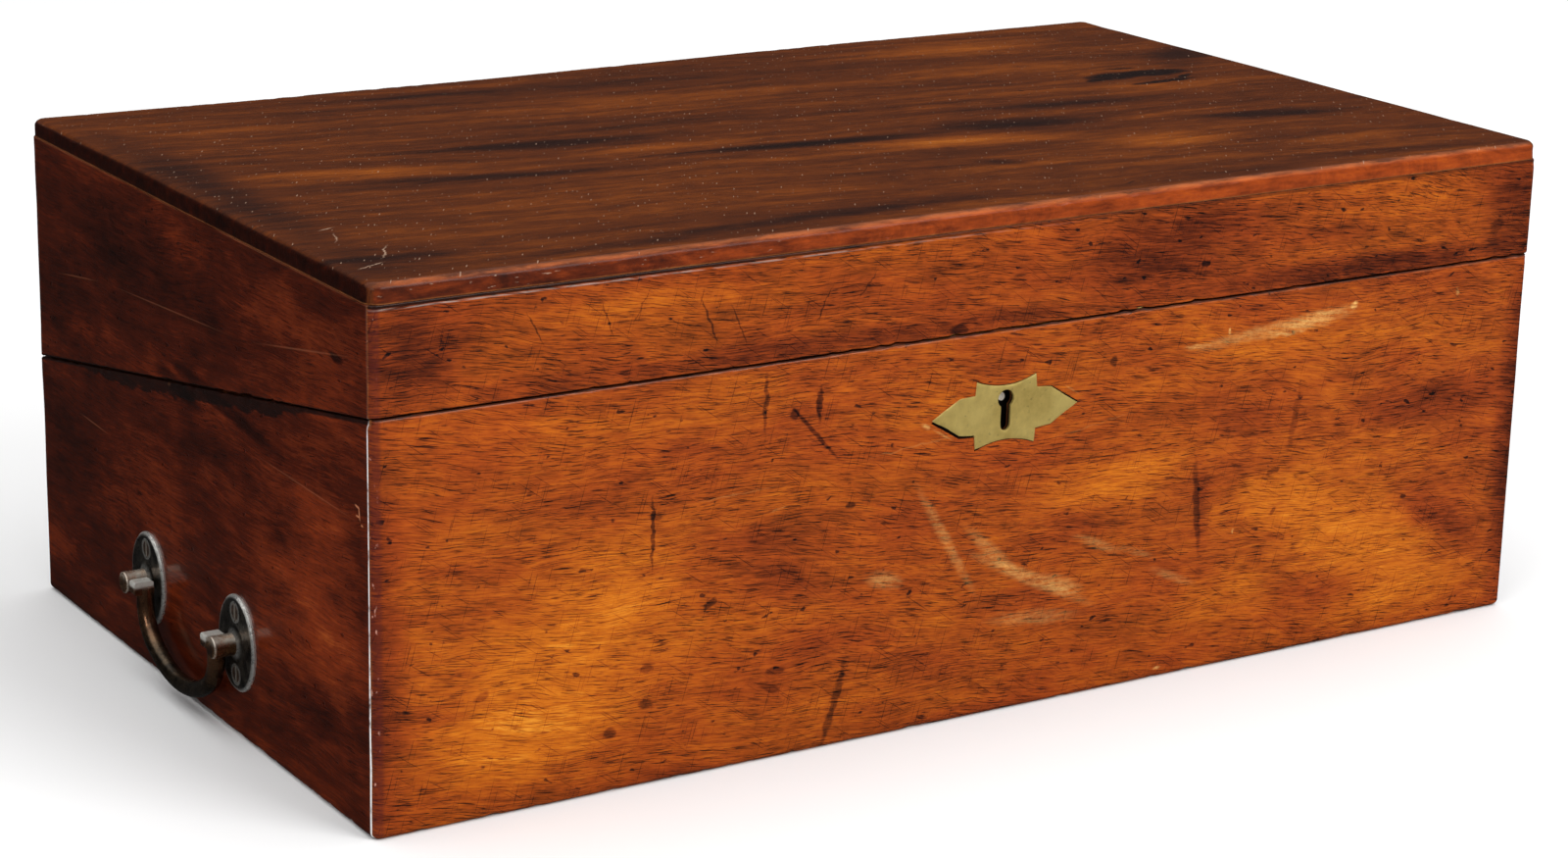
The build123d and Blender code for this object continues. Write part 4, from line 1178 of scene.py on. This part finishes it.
def sheet_rows(half):
    """Cutting places across a sheet: an even grid, its edges and both sides of the border lines."""
    rows = {round(-half + SHEET_CUT * (i + 1), 3) for i in range(int(2 * half / SHEET_CUT))}
    for inset in BORDER_INSETS:
        for offset in (-GROOVE_HALF, -BORDER_HALF_LINE, BORDER_HALF_LINE, GROOVE_HALF):
            rows.update((half - inset + offset, inset + offset - half))
    for inset in SHEET_EDGE_ROWS:
        rows.update((half - inset, inset - half))
    return sorted(row for row in rows if abs(row) < half - 0.1)


def worn_board(half, board):
    """One board of the base or the lid, cut fine and worn at its edges."""
    node = f"{half}_{board}"
    piece = gridded_copy(node, f"worn_{node}", grid_planes(node, LONG_AXIS[board]))
    reshape(piece, worn, flat=is_fitted)
    stand_for(piece, node)


for node, piece in frame["nodes"].items():
    put_on(piece, material_for(node))

star_plate()
tooled_leather("base_flap_leather")
tooled_leather("lid_flap_leather")
worn_board("lid", "top")
for half in ("base", "lid"):
    for board in ("front", "back", "left_side", "right_side"):
        worn_board(half, board)


# ---- floor, light and camera
FLOOR_SIZE = 14.0
LENS = 82.35
SENSOR = 36.0
VIEW_LIMIT = 100.0
CAMERA_PLACE = (-0.72661, -1.14369, 0.46847)
CAMERA_TURN = -32.44
CAMERA_DOWN = 16.41
CAMERA_ROLL = 1.312
BACKDROP = 0.95
SKY_HEIGHTS = (0.45, 0.85)
SKY_STRENGTHS = (0.03, 1.75)
FLOOR_COLOUR = (0.9, 0.9, 0.9)
KEY_LIGHT = {"place": (0.9, -2.2, 1.5), "size": 1.4, "power": 40}
LEFT_LIGHT = {"place": (-1.9, -1.3, 1.1), "size": 0.7, "power": 9}


def pale_floor():
    half = FLOOR_SIZE / 2
    mesh = bpy.data.meshes.new("floor")
    corners = ((-half, -half, 0), (half, -half, 0), (half, half, 0), (-half, half, 0))
    mesh.from_pydata(corners, (), ((0, 1, 2, 3),))
    floor = add_object("floor", mesh)
    shader = Shader("floor")
    mesh.materials.append(shader.finish(FLOOR_COLOUR, 0.9, level=0.0))
    # The wood keeps its depth because its gloss doesn't mirror the white floor.
    floor.visible_glossy = False


def studio_sky():
    """Even light from overhead that leaves the low surroundings dark, behind a pale backdrop."""
    world = bpy.data.worlds.new("studio")
    bpy.context.scene.world = world
    world.use_nodes = True
    nodes = world.node_tree.nodes
    links = world.node_tree.links
    background = next(node for node in nodes if node.type == "BACKGROUND")
    direction = nodes.new("ShaderNodeTexCoord")
    split = nodes.new("ShaderNodeSeparateXYZ")
    height = nodes.new("ShaderNodeMapRange")
    set_range(height, *SKY_HEIGHTS, *SKY_STRENGTHS)
    links.new(direction.outputs["Generated"], split.inputs[0])
    links.new(split.outputs["Z"], height.inputs["Value"])
    seen = nodes.new("ShaderNodeLightPath")
    strength = nodes.new("ShaderNodeMix")
    strength.inputs["B"].default_value = BACKDROP
    links.new(seen.outputs["Is Camera Ray"], strength.inputs["Factor"])
    links.new(height.outputs["Result"], strength.inputs["A"])
    links.new(strength.outputs["Result"], background.inputs["Strength"])
    background.inputs["Color"].default_value = (1, 1, 1, 1)


def soft_box(name, place, size, power):
    """Area light aimed at the middle of the box."""
    light = bpy.data.lights.new(name, "AREA")
    light.shape = "SQUARE"
    light.size = size
    light.energy = power
    lamp = add_object(name, light)
    target = Vector((0, 0, HEIGHT / 2 * MM))
    lamp.matrix_world = aimed(Vector(place), target)


def aimed(place, target):
    turn = (target - place).to_track_quat("-Z", "Y")
    return Matrix.Translation(place) @ turn.to_matrix().to_4x4()


def photo_camera():
    camera = bpy.data.cameras.new("camera")
    camera.lens = LENS
    camera.sensor_width = SENSOR
    camera.clip_end = VIEW_LIMIT
    holder = add_object("camera", camera)
    turn = Matrix.Rotation(math.radians(CAMERA_TURN), 4, "Z")
    tilt = Matrix.Rotation(math.radians(90 - CAMERA_DOWN), 4, "X")
    roll = Matrix.Rotation(math.radians(CAMERA_ROLL), 4, "Z")
    holder.matrix_world = Matrix.Translation(CAMERA_PLACE) @ turn @ tilt @ roll
    bpy.context.scene.camera = holder


pale_floor()
studio_sky()
soft_box("key_light", **KEY_LIGHT)
soft_box("left_light", **LEFT_LIGHT)
photo_camera()
bpy.context.scene.view_settings.view_transform = "Standard"
